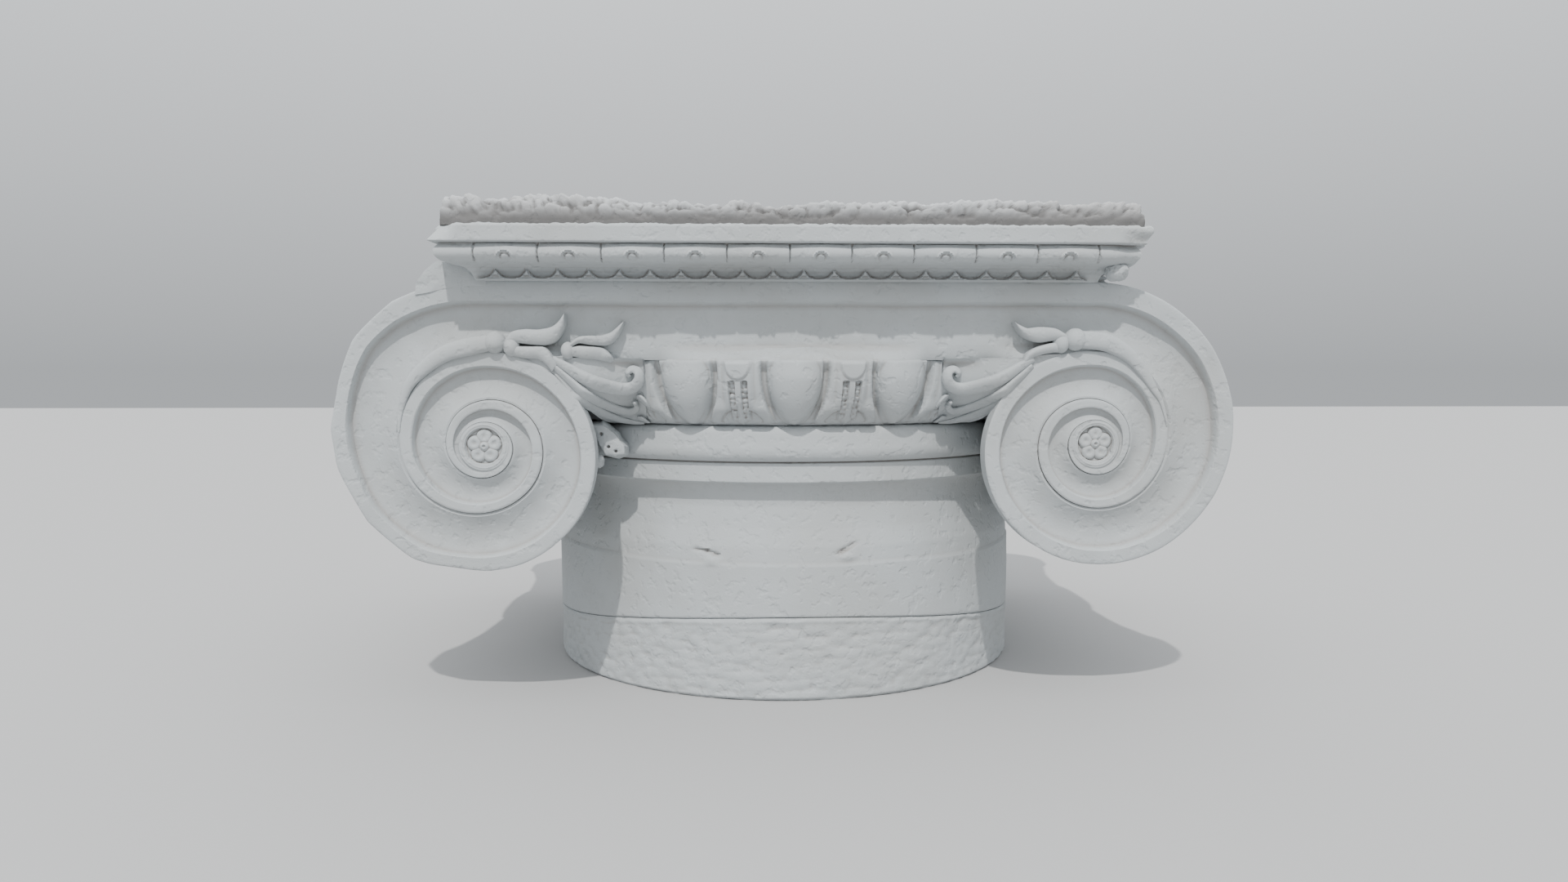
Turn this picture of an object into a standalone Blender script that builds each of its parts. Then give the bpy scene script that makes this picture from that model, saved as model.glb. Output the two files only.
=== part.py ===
"""Ionic capital of carved stone on a short rough drum.

The front faces -Y, X runs to the right and the underside rests on z = 0.
The plan centre of the drum is the origin.
"""

import math

import bmesh
import bpy
import numpy as np
from mathutils import Matrix, Vector

# Drum and joint
DRUM_RADIUS = 0.280
JOINT_HEIGHT = 0.072
JOINT_GAP = 0.0003
DRUM_EDGE_WEAR = 0.003
ROUND_STEPS = 36

# Neck, from the joint upwards
BAND_TOP = 0.140
BAND_STEP = 0.0016
NECK_LOW_RADIUS = 0.2765
NECK_WAIST_RADIUS = 0.2720
NECK_WAIST_HEIGHT = 0.205
FILLET_LOW = 0.228
FILLET_TOP = 0.248
FILLET_RADIUS = 0.2855
TORUS_LOW_RADIUS = 0.2865
TORUS_RADIUS = 0.2985
TORUS_TOP = 0.285

# Echinus with eggs
ECHINUS_FOOT_RADIUS = 0.285
ECHINUS_WAIST_RADIUS = 0.2920
ECHINUS_LIP_RADIUS = 0.3230
ECHINUS_LIP = 0.3505
SHELF_TOP = 0.3610
SHELF_RADIUS = 0.2900
EGGS_AROUND = 18
EGG_CREST_RADIUS = 0.3240
EGG_HALF_WIDTH = 0.0298
EGG_HALF_HEIGHT = 0.0370
EGG_HALF_DEPTH = 0.0260
EGG_CENTRE_HEIGHT = 0.3210
EGG_TURN = math.radians(9.0)
SHELL_HALF_WIDTH = 0.0385
SHELL_HALF_HEIGHT = 0.0400
SHELL_THICKNESS = 0.0060
SHELL_RADIUS = 0.3140
STRAP_HALF_WIDTH = 0.0170
STRAP_TIP_HALF_WIDTH = 0.0050
STRAP_RADIUS = 0.3210

# Faces of the volutes and the channel
FACE_DISTANCE = 0.3024
PLATE_THICKNESS = 0.0220
BODY_HALF_DEPTH = 0.2860
CANAL_TOP = 0.4290
CANAL_FLOOR = 0.3600
CHANNEL_DEPTH = 0.0125
CHANNEL_FULL_WIDTH = 0.0650
RISE_SHARE = 0.30
FRONT_STEPS_PER_TURN = 18
BACK_STEPS_PER_TURN = 10
CANAL_STEPS = 3
FULL_TURNS = 3
EYE_RADIUS = 0.0235
EYE_DEPTH = 0.0030
ROSETTE_RADIUS = 0.0165
PETAL_RADIUS = 0.0068
PETAL_RISE = 0.0045
BUTTON_RADIUS = 0.0055
BUTTON_RISE = 0.0065
EYE_LEFT = (-0.3065, 0.2665)
EYE_RIGHT = (0.3030, 0.2680)

# Spiral outer edge, from the top outwards, one value each eighth of a turn in
# the first turn and each quarter of a turn after it
SPIRAL_LEFT_FIRST = (0.1625, 0.1665, 0.1463, 0.1370, 0.1255, 0.1180, 0.1088, 0.0998)
SPIRAL_RIGHT_FIRST = (0.1610, 0.1525, 0.1385, 0.1280, 0.1225, 0.1180, 0.1115, 0.1015)
SPIRAL_LEFT_INNER = (0.0930, 0.0815, 0.0655, 0.0570, 0.0450, 0.0362, 0.0312, 0.0275, 0.0235)
SPIRAL_RIGHT_INNER = (0.0925, 0.0725, 0.0645, 0.0580, 0.0445, 0.0345, 0.0305, 0.0275, 0.0235)
FILLET_WIDTHS = (0.0200, 0.0155, 0.0145, 0.0145, 0.0145, 0.0115, 0.0090, 0.0095, 0.0085, 0.0070,
                 0.0060, 0.0040, 0.0)

# Block between the scrolls, under the abacus
CORE_OVERLAP = 0.0018
CORE_LOW = 0.3535
CORE_DROP = 0.0004

# Bead under each flower
BEAD_ALONG = 0.2935
BEAD_HEIGHT = 0.3685
BEAD_SINK = 0.0010
BEAD_RADIUS = 0.0103

# Lumps of old mortar and the worn shoulder of the left scroll
MORTAR_LEFT_PLACE = (-0.1860, -0.2620, 0.2720)
MORTAR_LEFT_SIZE = (0.0140, 0.0300, 0.0190)
MORTAR_RIGHT_INSET = (0.0235, 0.0275)
MORTAR_RIGHT_HEIGHT = 0.4370
MORTAR_RIGHT_SIZE = (0.0110, 0.0120, 0.0100)
SHOULDER_PLACE = (-0.3520, -0.2850, 0.4310)
SHOULDER_SIZE = (0.0260, 0.0220, 0.0170)

# Bolsters: distance from the middle and share of the face outline
BOLSTER_SECTIONS = ((0.286, 0.970), (0.240, 0.890), (0.190, 0.815), (0.120, 0.765),
                    (0.058, 0.750), (0.050, 0.810), (0.0, 0.815))
BOLSTER_POINTS = 18

# Abacus and the ragged bed on it
ABACUS_HALF = 0.3455
ABACUS_INSETS = ((0.0395, 0.4285), (0.0370, 0.4300), (0.0340, 0.4365), (0.0240, 0.4410),
                 (0.0130, 0.4435), (0.0075, 0.4500), (0.0065, 0.4600), (0.0060, 0.4612),
                 (0.0010, 0.4620), (0.0, 0.4640), (0.0, 0.4775), (0.0020, 0.4792))
LEAF_ROW_INSET = 0.0075
LEAVES_PER_SIDE = 10
LEAF_PITCH = 0.0583
LEAF_HALF_WIDTH = 0.0268
LEAF_LOW = 0.4440
LEAF_TOP = 0.4590
LEAF_SWELL = 0.0052
BED_INSET = 0.0095
BED_HALF = ABACUS_HALF - BED_INSET
BED_RIM_WEAR = 0.0030
BED_RIM_WOBBLE = 0.0040
BED_LOW = 0.4700
BED_TOP = 0.4915
BED_WAVE = 0.0035
BED_CELLS = 8

STONE = (0.52, 0.55, 0.56, 1.0)
STONE_ROUGHNESS = 0.85


def clear_scene():
    """Remove every object and mesh that the start file brings."""
    for ob in list(bpy.data.objects):
        bpy.data.objects.remove(ob, do_unlink=True)
    for mesh in list(bpy.data.meshes):
        bpy.data.meshes.remove(mesh)


def make_material(name):
    """Return a pale stone material of its own for one object."""
    mat = bpy.data.materials.new(name)
    mat.use_nodes = True
    shader = mat.node_tree.nodes["Principled BSDF"]
    shader.inputs["Base Color"].default_value = STONE
    shader.inputs["Roughness"].default_value = STONE_ROUGHNESS
    return mat


def new_object(name, bm):
    """Turn a bmesh into a linked object with its faces pointing outwards."""
    bmesh.ops.recalc_face_normals(bm, faces=bm.faces)
    mesh = bpy.data.meshes.new(name)
    bm.to_mesh(mesh)
    bm.free()
    ob = bpy.data.objects.new(name, mesh)
    bpy.context.scene.collection.objects.link(ob)
    return ob


def apply_modifiers(ob):
    """Bake the modifiers of an object into its mesh."""
    bpy.ops.object.select_all(action="DESELECT")
    bpy.context.view_layer.objects.active = ob
    ob.select_set(True)
    for mod in list(ob.modifiers):
        bpy.ops.object.modifier_apply(modifier=mod.name)


def union(body, tool):
    """Join a tool to the body and remove the tool."""
    mod = body.modifiers.new("join", "BOOLEAN")
    mod.operation = "UNION"
    mod.solver = "EXACT"
    mod.object = tool
    apply_modifiers(body)
    bpy.data.objects.remove(tool, do_unlink=True)


def lathe(name, profile, steps):
    """Turn a profile of (radius, height) points about Z, first and last on the axis."""
    bm = bmesh.new()
    verts = [bm.verts.new((r, 0.0, z)) for r, z in profile]
    for a, b in zip(verts, verts[1:]):
        bm.edges.new((a, b))
    ob = new_object(name, bm)
    screw = ob.modifiers.new("turn", "SCREW")
    screw.axis = "Z"
    screw.angle = 2.0 * math.pi
    screw.steps = steps
    screw.render_steps = steps
    screw.use_merge_vertices = True
    screw.merge_threshold = 0.00005
    apply_modifiers(ob)
    bm = bmesh.new()
    bm.from_mesh(ob.data)
    bmesh.ops.recalc_face_normals(bm, faces=bm.faces)
    bm.to_mesh(ob.data)
    bm.free()
    return ob


def smooth_value(values, position):
    """Interpolate evenly spaced values with a curve through all of them."""
    last = len(values) - 1
    k = min(int(position), last - 1)
    f = position - k
    a = values[max(k - 1, 0)]
    b = values[k]
    c = values[k + 1]
    d = values[min(k + 2, last)]
    slope_b = 0.5 * (c - a)
    slope_c = 0.5 * (d - b)
    f2 = f * f
    f3 = f2 * f
    rise = (2 * f3 - 3 * f2 + 1) * b + (f3 - 2 * f2 + f) * slope_b
    return rise + (3 * f2 - 2 * f3) * c + (f3 - f2) * slope_c


def spiral_radius(first, inner, turn):
    """Return the outer edge radius of the volute after so many turns from the top."""
    if turn < 1.0:
        return smooth_value(first + (inner[0],), turn * 8.0)
    return smooth_value(inner, (min(turn, 3.0) - 1.0) * 4.0)


def fillet_width(turn):
    """Return the width of the raised fillet after so many turns."""
    return smooth_value(FILLET_WIDTHS, max(min(turn, 3.0), 0.0) * 4.0)


class Volute:
    """One volute on a face: its eye, its spiral and the side it winds to."""

    def __init__(self, eye, first, inner, side):
        self.eye = eye
        self.first = first
        self.inner = inner
        self.side = side

    def at(self, radius, turn):
        """Return the (x, z) point at a radius and a turn from the top, going outwards."""
        angle = 2.0 * math.pi * turn
        x = self.eye[0] + self.side * radius * math.sin(angle)
        return x, self.eye[1] + radius * math.cos(angle)

    def outer(self, turn):
        """Return the outer edge point, along the straight channel where turn is negative."""
        if turn <= 0.0:
            return self.eye[0] * (1.0 + turn), CANAL_TOP
        return self.at(spiral_radius(self.first, self.inner, turn), turn)

    def inner_edge(self, turn):
        """Return the point where the channel meets the next turn or the echinus."""
        if turn <= 0.0:
            top = self.at(spiral_radius(self.first, self.inner, 1.0), 1.0)
            return self.eye[0] * (1.0 + turn), top[1] + (CANAL_FLOOR - top[1]) * min(1.0, -4 * turn)
        if turn <= 2.0:
            return self.at(spiral_radius(self.first, self.inner, turn + 1.0), turn)
        return self.at(EYE_RADIUS, turn)


def strip_points(vol, turn):
    """Return (x, depth, z) across the fillet and the channel at one turn."""
    x0, z0 = vol.outer(turn)
    x1, z1 = vol.inner_edge(turn)
    span = math.hypot(x1 - x0, z1 - z0)
    if span < 1e-6:
        return [(x0, 0.0, z0)] * 5
    lip = min(fillet_width(turn) / span, 0.6)
    deep = CHANNEL_DEPTH * math.sqrt(min(span / CHANNEL_FULL_WIDTH, 1.0))
    rows = ((0.0, 0.0), (lip, 0.0), (lip + 0.06 * (1 - lip), 0.45 * deep),
            (lip + 0.40 * (1 - lip), deep), (1.0, RISE_SHARE * deep))
    return [(x0 + s * (x1 - x0), d, z0 + s * (z1 - z0)) for s, d in rows]


def add_volute_sheet(bm, vol, back, steps):
    """Add one volute and its half of the channel as a closed half plate, open at x = 0."""
    turns = [-1.0 + k / CANAL_STEPS for k in range(CANAL_STEPS)]
    turns += [k / steps for k in range(FULL_TURNS * steps)]
    columns = []
    for turn in turns:
        points = strip_points(vol, turn)
        columns.append([bm.verts.new((x, d - FACE_DISTANCE, z)) for x, d, z in points])
    x, z = vol.outer(float(FULL_TURNS))
    tip = bm.verts.new((x, -FACE_DISTANCE, z))
    columns.append([tip])
    zero = CANAL_STEPS
    last = len(columns) - 2
    for a, b in zip(columns[:last], columns[1:last + 1]):
        for k in range(4):
            bm.faces.new((a[k], a[k + 1], b[k + 1], b[k]))
    for k in range(4):
        bm.faces.new((columns[last][k], columns[last][k + 1], tip))
    for k in range(zero, zero + 2 * steps):
        bm.faces.new((columns[k][4], columns[k + steps][0], columns[k + steps + 1][0],
                      columns[k + 1][4]))
    ring = [columns[zero + 2 * steps + k][4] for k in range(steps)]
    add_eye(bm, vol, ring, tip)
    top = [columns[k][0] for k in range(zero + steps + 1)]
    floor = [columns[k][4] for k in range(zero, -1, -1)]
    top_back = [bm.verts.new((v.co.x, back, v.co.z)) for v in top]
    floor_back = [bm.verts.new((v.co.x, back, v.co.z)) for v in floor[1:]]
    for k in range(len(top) - 2):
        bm.faces.new((top[k], top[k + 1], top_back[k + 1], top_back[k]))
    bm.faces.new((top[-2], top[-1], floor[0], top_back[-1], top_back[-2]))
    floor_back.insert(0, top_back[-1])
    for k in range(len(floor) - 1):
        bm.faces.new((floor[k], floor[k + 1], floor_back[k + 1], floor_back[k]))
    bm.faces.new(top_back + floor_back[1:])


def add_eye(bm, vol, ring, tip):
    """Close the middle of a volute with a raised ring, a sunk disc and a five petal rosette."""
    count = len(ring)
    loops = []
    for radius, depth in ((0.86, 0.0), (0.74, EYE_DEPTH)):
        loop = []
        for k in range(count):
            x, z = vol.at(EYE_RADIUS * radius, k / count)
            loop.append(bm.verts.new((x, depth - FACE_DISTANCE, z)))
        loops.append(loop)
    for k in range(count - 1):
        bm.faces.new((ring[k], ring[k + 1], loops[0][k + 1], loops[0][k]))
    bm.faces.new((ring[-1], tip, loops[0][0], loops[0][-1]))
    bm.faces.new((tip, ring[0], loops[0][0]))
    for k in range(count):
        n = (k + 1) % count
        bm.faces.new((loops[0][k], loops[0][n], loops[1][n], loops[1][k]))
    bm.faces.new(loops[1])


def face_plate(name, steps):
    """Return the front plate with both volutes and the channel between them."""
    bm = bmesh.new()
    back = PLATE_THICKNESS - FACE_DISTANCE
    for vol in (LEFT, RIGHT):
        add_volute_sheet(bm, vol, back, steps)
    bmesh.ops.remove_doubles(bm, verts=bm.verts, dist=0.00001)
    bmesh.ops.triangulate(bm, faces=[f for f in bm.faces if len(f.verts) > 4])
    return new_object(name, bm)


def bolster(name, vol):
    """Loft one bolster between the faces, narrowing to a plain band in the middle."""
    bm = bmesh.new()
    outline = []
    for k in range(BOLSTER_POINTS + 1):
        outline.append(vol.outer(k / BOLSTER_POINTS))
    sections = [(-y, s) for y, s in BOLSTER_SECTIONS]
    sections += [(y, s) for y, s in reversed(BOLSTER_SECTIONS[:-1])]
    rings = []
    for y, share in sections:
        ring = []
        for x, z in outline:
            px = vol.eye[0] + (x - vol.eye[0]) * share
            pz = vol.eye[1] + (z - vol.eye[1]) * share
            ring.append(bm.verts.new((px, y, pz - 0.0004)))
        rings.append(ring)
    count = len(outline)
    for a, b in zip(rings, rings[1:]):
        for k in range(count):
            n = (k + 1) % count
            bm.faces.new((a[k], a[n], b[n], b[k]))
    bm.faces.new(rings[0])
    bm.faces.new(list(reversed(rings[-1])))
    return new_object(name, bm)


def box(name, low, high):
    """Return a box between two corners."""
    bm = bmesh.new()
    bmesh.ops.create_cube(bm, size=1.0)
    size = [b - a for a, b in zip(low, high)]
    middle = [(a + b) / 2 for a, b in zip(low, high)]
    bmesh.ops.transform(bm, verts=bm.verts, matrix=Matrix.Translation(middle) @ Matrix.Diagonal(
        (*size, 1.0)))
    return new_object(name, bm)


def square_moulding(name, profile):
    """Sweep a profile of (half side, height) points round a square and close both ends."""
    bm = bmesh.new()
    rings = []
    for half, z in profile:
        corners = ((-half, -half), (half, -half), (half, half), (-half, half))
        rings.append([bm.verts.new((x, y, z)) for x, y in corners])
    for a, b in zip(rings, rings[1:]):
        for k in range(4):
            n = (k + 1) % 4
            bm.faces.new((a[k], a[n], b[n], b[k]))
    bm.faces.new(list(reversed(rings[0])))
    bm.faces.new(rings[-1])
    return new_object(name, bm)


def leaf_rows(name):
    """Return the low rounded leaves of the ovolo on all four sides, as separate lobes."""
    bm = bmesh.new()
    face = ABACUS_HALF - LEAF_ROW_INSET
    middle = (LEAF_LOW + LEAF_TOP) / 2
    for side in range(4):
        turn = Matrix.Rotation(side * math.pi / 2, 4, "Z")
        for k in range(LEAVES_PER_SIDE):
            x = (k - (LEAVES_PER_SIDE - 1) / 2) * LEAF_PITCH
            w = LEAF_HALF_WIDTH
            rim = ((-w, LEAF_TOP), (-0.9 * w, middle - 0.002), (0.0, LEAF_LOW - 0.001),
                   (0.9 * w, middle - 0.002), (w, LEAF_TOP))
            front = []
            back = []
            for dx, z in rim:
                low = 0.0035 * (LEAF_TOP - z) / (LEAF_TOP - LEAF_LOW)
                front.append(bm.verts.new((x + dx, -(face + 0.0012 - low), z)))
                back.append(bm.verts.new((x + dx, -(face - 0.012), z)))
            crown = bm.verts.new((x, -(face + LEAF_SWELL), middle + 0.001))
            count = len(rim)
            for j in range(count):
                n = (j + 1) % count
                bm.faces.new((front[j], front[n], crown))
                bm.faces.new((front[n], front[j], back[j], back[n]))
            bm.faces.new(back)
            verts = front + back + [crown]
            bmesh.ops.transform(bm, verts=verts, matrix=turn)
    return new_object(name, bm)


def ragged_bed(name):
    """Return the uneven broken stone left on top of the abacus."""
    bm = bmesh.new()
    n = BED_CELLS
    grid = []
    base = []
    for j in range(n + 1):
        row = []
        for i in range(n + 1):
            u = 2 * i / n - 1
            v = 2 * j / n - 1
            edge = max(abs(u), abs(v))
            reach = BED_HALF - BED_RIM_WEAR
            reach += BED_RIM_WOBBLE * math.sin(9.1 * u + 4.0 * v) * edge ** 8
            z = BED_TOP + BED_WAVE * (math.sin(7.3 * u + 2.1 * v) * math.cos(5.9 * v - 1.7 * u)
                                      + 0.6 * math.sin(19.0 * u) * math.cos(17.0 * v + 1.0))
            z -= BED_RIM_WOBBLE * edge ** 10
            row.append(bm.verts.new((reach * u, reach * v, z)))
        grid.append(row)
    for j in range(n):
        for i in range(n):
            bm.faces.new((grid[j][i], grid[j][i + 1], grid[j + 1][i + 1], grid[j + 1][i]))
    rim = [grid[0][i] for i in range(n)] + [grid[j][n] for j in range(n)]
    rim += [grid[n][i] for i in range(n, 0, -1)] + [grid[j][0] for j in range(n, 0, -1)]
    for v in rim:
        u = v.co.x / BED_HALF
        w = v.co.y / BED_HALF
        edge = max(abs(u), abs(w))
        base.append(bm.verts.new((BED_HALF * u / edge, BED_HALF * w / edge, BED_LOW)))
    count = len(rim)
    for k in range(count):
        m = (k + 1) % count
        bm.faces.new((base[k], base[m], rim[m], rim[k]))
    bm.faces.new(list(reversed(base)))
    bmesh.ops.triangulate(bm, faces=bm.faces)
    return new_object(name, bm)


def on_echinus(angle, radius, height):
    """Return the point at an angle from the front, a radius and a height."""
    return Vector((radius * math.sin(angle), -radius * math.cos(angle), height))


def eggs(name, facing):
    """Return three eggs of one face as separate closed ellipsoids."""
    bm = bmesh.new()
    for k in (-1, 0, 1):
        angle = k * 2 * math.pi / EGGS_AROUND
        made = bmesh.ops.create_uvsphere(bm, u_segments=10, v_segments=7, radius=1.0)
        centre = on_echinus(angle, EGG_CREST_RADIUS - EGG_HALF_DEPTH, EGG_CENTRE_HEIGHT)
        for v in made["verts"]:
            z = v.co.z
            width = EGG_HALF_WIDTH * (1.0 - 0.20 * max(-z, 0.0) ** 1.5)
            flat = Matrix.Rotation(EGG_TURN, 3, "Z") @ v.co
            v.co = Vector((flat.x * width, flat.y * EGG_HALF_DEPTH, z * EGG_HALF_HEIGHT))
        place = Matrix.Translation(centre) @ Matrix.Rotation(angle, 4, "Z")
        bmesh.ops.transform(bm, verts=made["verts"], matrix=place)
    top = Vector((0.0, 0.0, ECHINUS_LIP))
    geom = bm.verts[:] + bm.edges[:] + bm.faces[:]
    cut = bmesh.ops.bisect_plane(bm, geom=geom, plane_co=top, plane_no=(0, 0, 1), clear_outer=True)
    rim = [e for e in cut["geom_cut"] if isinstance(e, bmesh.types.BMEdge)]
    bmesh.ops.holes_fill(bm, edges=rim, sides=0)
    bmesh.ops.transform(bm, verts=bm.verts, matrix=Matrix.Rotation(facing, 4, "Z"))
    return new_object(name, bm)


def shells(name, facing):
    """Return the raised rims that hold the three eggs of one face."""
    bm = bmesh.new()
    for k in (-1, 0, 1):
        middle = k * 2 * math.pi / EGGS_AROUND
        rings = []
        count = 8
        for j in range(count):
            s = math.pi * j / (count - 1)
            dx = SHELL_HALF_WIDTH * math.cos(s)
            z = ECHINUS_LIP - 0.0005 - SHELL_HALF_HEIGHT * 1.52 * math.sin(s)
            t = SHELL_THICKNESS / 2
            outer = Vector((math.cos(s), math.sin(s)))
            drop = 0.55 * (ECHINUS_LIP - z)
            ring = []
            for side, reach in ((1, 0.0), (1, -0.022), (-1, -0.022), (-1, 0.0)):
                px = dx + side * t * outer.x
                pz = z - side * t * outer.y * (0.0 if j in (0, count - 1) else 1.0)
                radius = SHELL_RADIUS + reach - drop * 0.50
                ring.append(bm.verts.new(on_echinus(middle + px / SHELL_RADIUS, radius, pz)))
            rings.append(ring)
        for a, b in zip(rings, rings[1:]):
            for m in range(4):
                n = (m + 1) % 4
                bm.faces.new((a[m], a[n], b[n], b[m]))
        bm.faces.new(rings[0])
        bm.faces.new(list(reversed(rings[-1])))
    bmesh.ops.transform(bm, verts=bm.verts, matrix=Matrix.Rotation(facing, 4, "Z"))
    return new_object(name, bm)


def straps(name, facing):
    """Return the two tapered straps with their darts between the eggs of one face."""
    bm = bmesh.new()
    for k in (-0.5, 0.5):
        middle = k * 2 * math.pi / EGGS_AROUND
        rows = ((ECHINUS_LIP - 0.001, STRAP_HALF_WIDTH, STRAP_RADIUS),
                (0.3330, 0.72 * STRAP_HALF_WIDTH, STRAP_RADIUS - 0.003),
                (0.3050, 0.55 * STRAP_HALF_WIDTH, STRAP_RADIUS - 0.014),
                (0.2870, STRAP_TIP_HALF_WIDTH, STRAP_RADIUS - 0.024))
        rings = []
        for z, half, radius in rows:
            ring = []
            for dx, reach in ((-half, -0.003), (-0.4 * half, 0.0), (0.4 * half, 0.0),
                              (half, -0.003), (half, -0.030), (-half, -0.030)):
                ring.append(bm.verts.new(on_echinus(middle + dx / radius, radius + reach, z)))
            rings.append(ring)
        for a, b in zip(rings, rings[1:]):
            for m in range(6):
                n = (m + 1) % 6
                bm.faces.new((a[m], a[n], b[n], b[m]))
        bm.faces.new(rings[0])
        bm.faces.new(list(reversed(rings[-1])))
    bmesh.ops.transform(bm, verts=bm.verts, matrix=Matrix.Rotation(facing, 4, "Z"))
    return new_object(name, bm)


def face_depth(x, z):
    """Return how far in front of the axis the carving stands at a point of the front."""
    along = abs(x)
    if along > 0.235:
        return -FACE_DISTANCE
    share = min(max((along - 0.165) / 0.07, 0.0), 1.0)
    echinus = math.sqrt(max(0.312 ** 2 - along ** 2, 0.0001))
    return -(share * FACE_DISTANCE + (1 - share) * echinus)


def frond(bm, points, widths, lift, side):
    """Sweep a five sided tapering leaf stalk through (x, z) points on the front."""
    rings = []
    count = len(points)
    for k, ((x, z), width) in enumerate(zip(points, widths)):
        ax, az = points[max(k - 1, 0)]
        bx, bz = points[min(k + 1, count - 1)]
        tx = bx - ax
        tz = bz - az
        size = math.hypot(tx, tz)
        nx = -tz / size
        nz = tx / size
        depth = face_depth(side * x, z)
        ring = []
        for across, out in ((-1.0, 0.014), (-0.85, -0.2), (0.0, -1.0), (0.85, -0.2), (1.0, 0.014)):
            y = depth + (0.014 if out > 0 else out * lift)
            ring.append(bm.verts.new((side * (x + nx * width * across), y, z + nz * width * across)))
        rings.append(ring)
    for a, b in zip(rings, rings[1:]):
        for m in range(5):
            n = (m + 1) % 5
            bm.faces.new((a[m], a[n], b[n], b[m]))
    bm.faces.new(rings[0])
    bm.faces.new(list(reversed(rings[-1])))


STEM = (((0.388, 0.305), 0.0015), ((0.382, 0.327), 0.0045), ((0.366, 0.347), 0.0065),
        ((0.343, 0.361), 0.0080), ((0.316, 0.3665), 0.0085), ((0.300, 0.3680), 0.0070))
PETALS = ((((0.283, 0.3660), 0.0060), ((0.262, 0.3700), 0.0100), ((0.243, 0.3790), 0.0065),
           ((0.228, 0.3885), 0.0012)),
          (((0.286, 0.3640), 0.0050), ((0.262, 0.3570), 0.0070), ((0.243, 0.3520), 0.0055),
           ((0.232, 0.3500), 0.0030)))
FRONDS = ((((0.236, 0.3520), 0.0035), ((0.212, 0.3490), 0.0060), ((0.190, 0.3440), 0.0060),
           ((0.170, 0.3430), 0.0065), ((0.160, 0.3350), 0.0040)),
          (((0.2402, 0.3462), 0.0034), ((0.216, 0.3330), 0.0055), ((0.194, 0.3160), 0.0055),
           ((0.173, 0.3130), 0.0055), ((0.165, 0.3200), 0.0035)),
          (((0.236, 0.3410), 0.0030), ((0.220, 0.3200), 0.0045), ((0.200, 0.3010), 0.0050),
           ((0.178, 0.2920), 0.0045), ((0.158, 0.2890), 0.0025)))
SECOND_FLOWER = (((0.236, 0.3560), 0.0060), ((0.205, 0.3640), 0.0080), ((0.187, 0.3720), 0.0060),
                 ((0.170, 0.3840), 0.0012))


def spray(name, side, paths, lift):
    """Return one group of leaf stalks of one side as separate closed sweeps."""
    bm = bmesh.new()
    for path in paths:
        points = [p for p, _ in path]
        widths = [w for _, w in path]
        frond(bm, points, widths, lift, side)
    return new_object(name, bm)


def lump(name, centre, size, faces_level, seed):
    """Return an uneven lump of stone or mortar."""
    bm = bmesh.new()
    bmesh.ops.create_icosphere(bm, subdivisions=faces_level, radius=1.0)
    rng = np.random.default_rng(seed)
    for v in bm.verts:
        grow = 1.0 + 0.14 * (rng.random() - 0.5)
        v.co = Vector(centre) + Vector([c * s * grow for c, s in zip(v.co, size)])
    return new_object(name, bm)


LEFT = Volute(EYE_LEFT, SPIRAL_LEFT_FIRST, SPIRAL_LEFT_INNER, -1)
RIGHT = Volute(EYE_RIGHT, SPIRAL_RIGHT_FIRST, SPIRAL_RIGHT_INNER, 1)


def neck_profile():
    """Return the turned profile from the joint up to the echinus, closed on the axis."""
    low = JOINT_HEIGHT + JOINT_GAP
    return ((0.0, low), (DRUM_RADIUS - 0.0008, low), (DRUM_RADIUS, low + 0.0012), (DRUM_RADIUS, BAND_TOP),
            (DRUM_RADIUS - BAND_STEP, BAND_TOP + 0.006), (NECK_LOW_RADIUS, 0.165),
            (NECK_WAIST_RADIUS, NECK_WAIST_HEIGHT), (NECK_WAIST_RADIUS + 0.001, FILLET_LOW - 0.004),
            (FILLET_RADIUS - 0.003, FILLET_LOW), (FILLET_RADIUS, FILLET_LOW + 0.0008),
            (FILLET_RADIUS, FILLET_TOP - 0.0008), (TORUS_LOW_RADIUS - 0.004, FILLET_TOP),
            (TORUS_RADIUS - 0.0045, 0.2545), (TORUS_RADIUS, 0.2630), (TORUS_RADIUS - 0.001, 0.2730),
            (TORUS_RADIUS - 0.0055, 0.2825), (ECHINUS_FOOT_RADIUS, TORUS_TOP + 0.001),
            (ECHINUS_WAIST_RADIUS, 0.3050), (0.3020, 0.3300), (ECHINUS_LIP_RADIUS - 0.012, 0.3440),
            (ECHINUS_LIP_RADIUS, 0.3470), (ECHINUS_LIP_RADIUS, ECHINUS_LIP),
            (SHELF_RADIUS, SHELF_TOP), (SHELF_RADIUS - 0.03, 0.3800), (0.0, 0.3800))


def drum_profile():
    """Return the profile of the rough drum, closed on the axis."""
    r = DRUM_RADIUS - 0.0008
    return ((0.0, 0.0), (r - DRUM_EDGE_WEAR, 0.0), (r, DRUM_EDGE_WEAR), (r, JOINT_HEIGHT - 0.0015),
            (r - 0.0015, JOINT_HEIGHT), (0.0, JOINT_HEIGHT))


def finish(ob):
    """Clean the joined mesh, shade it and give it its own stone."""
    bm = bmesh.new()
    bm.from_mesh(ob.data)
    bmesh.ops.remove_doubles(bm, verts=bm.verts, dist=0.000001)
    bmesh.ops.dissolve_degenerate(bm, edges=bm.edges, dist=0.000001)
    bmesh.ops.triangulate(bm, faces=bm.faces)
    bmesh.ops.recalc_face_normals(bm, faces=bm.faces)
    bm.to_mesh(ob.data)
    bm.free()
    ob.data.materials.clear()
    ob.data.materials.append(make_material(ob.name + "_stone"))
    ob.data.shade_smooth()
    ob.select_set(True)
    bpy.context.view_layer.objects.active = ob
    bpy.ops.object.shade_smooth_by_angle(angle=math.radians(32))


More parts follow.
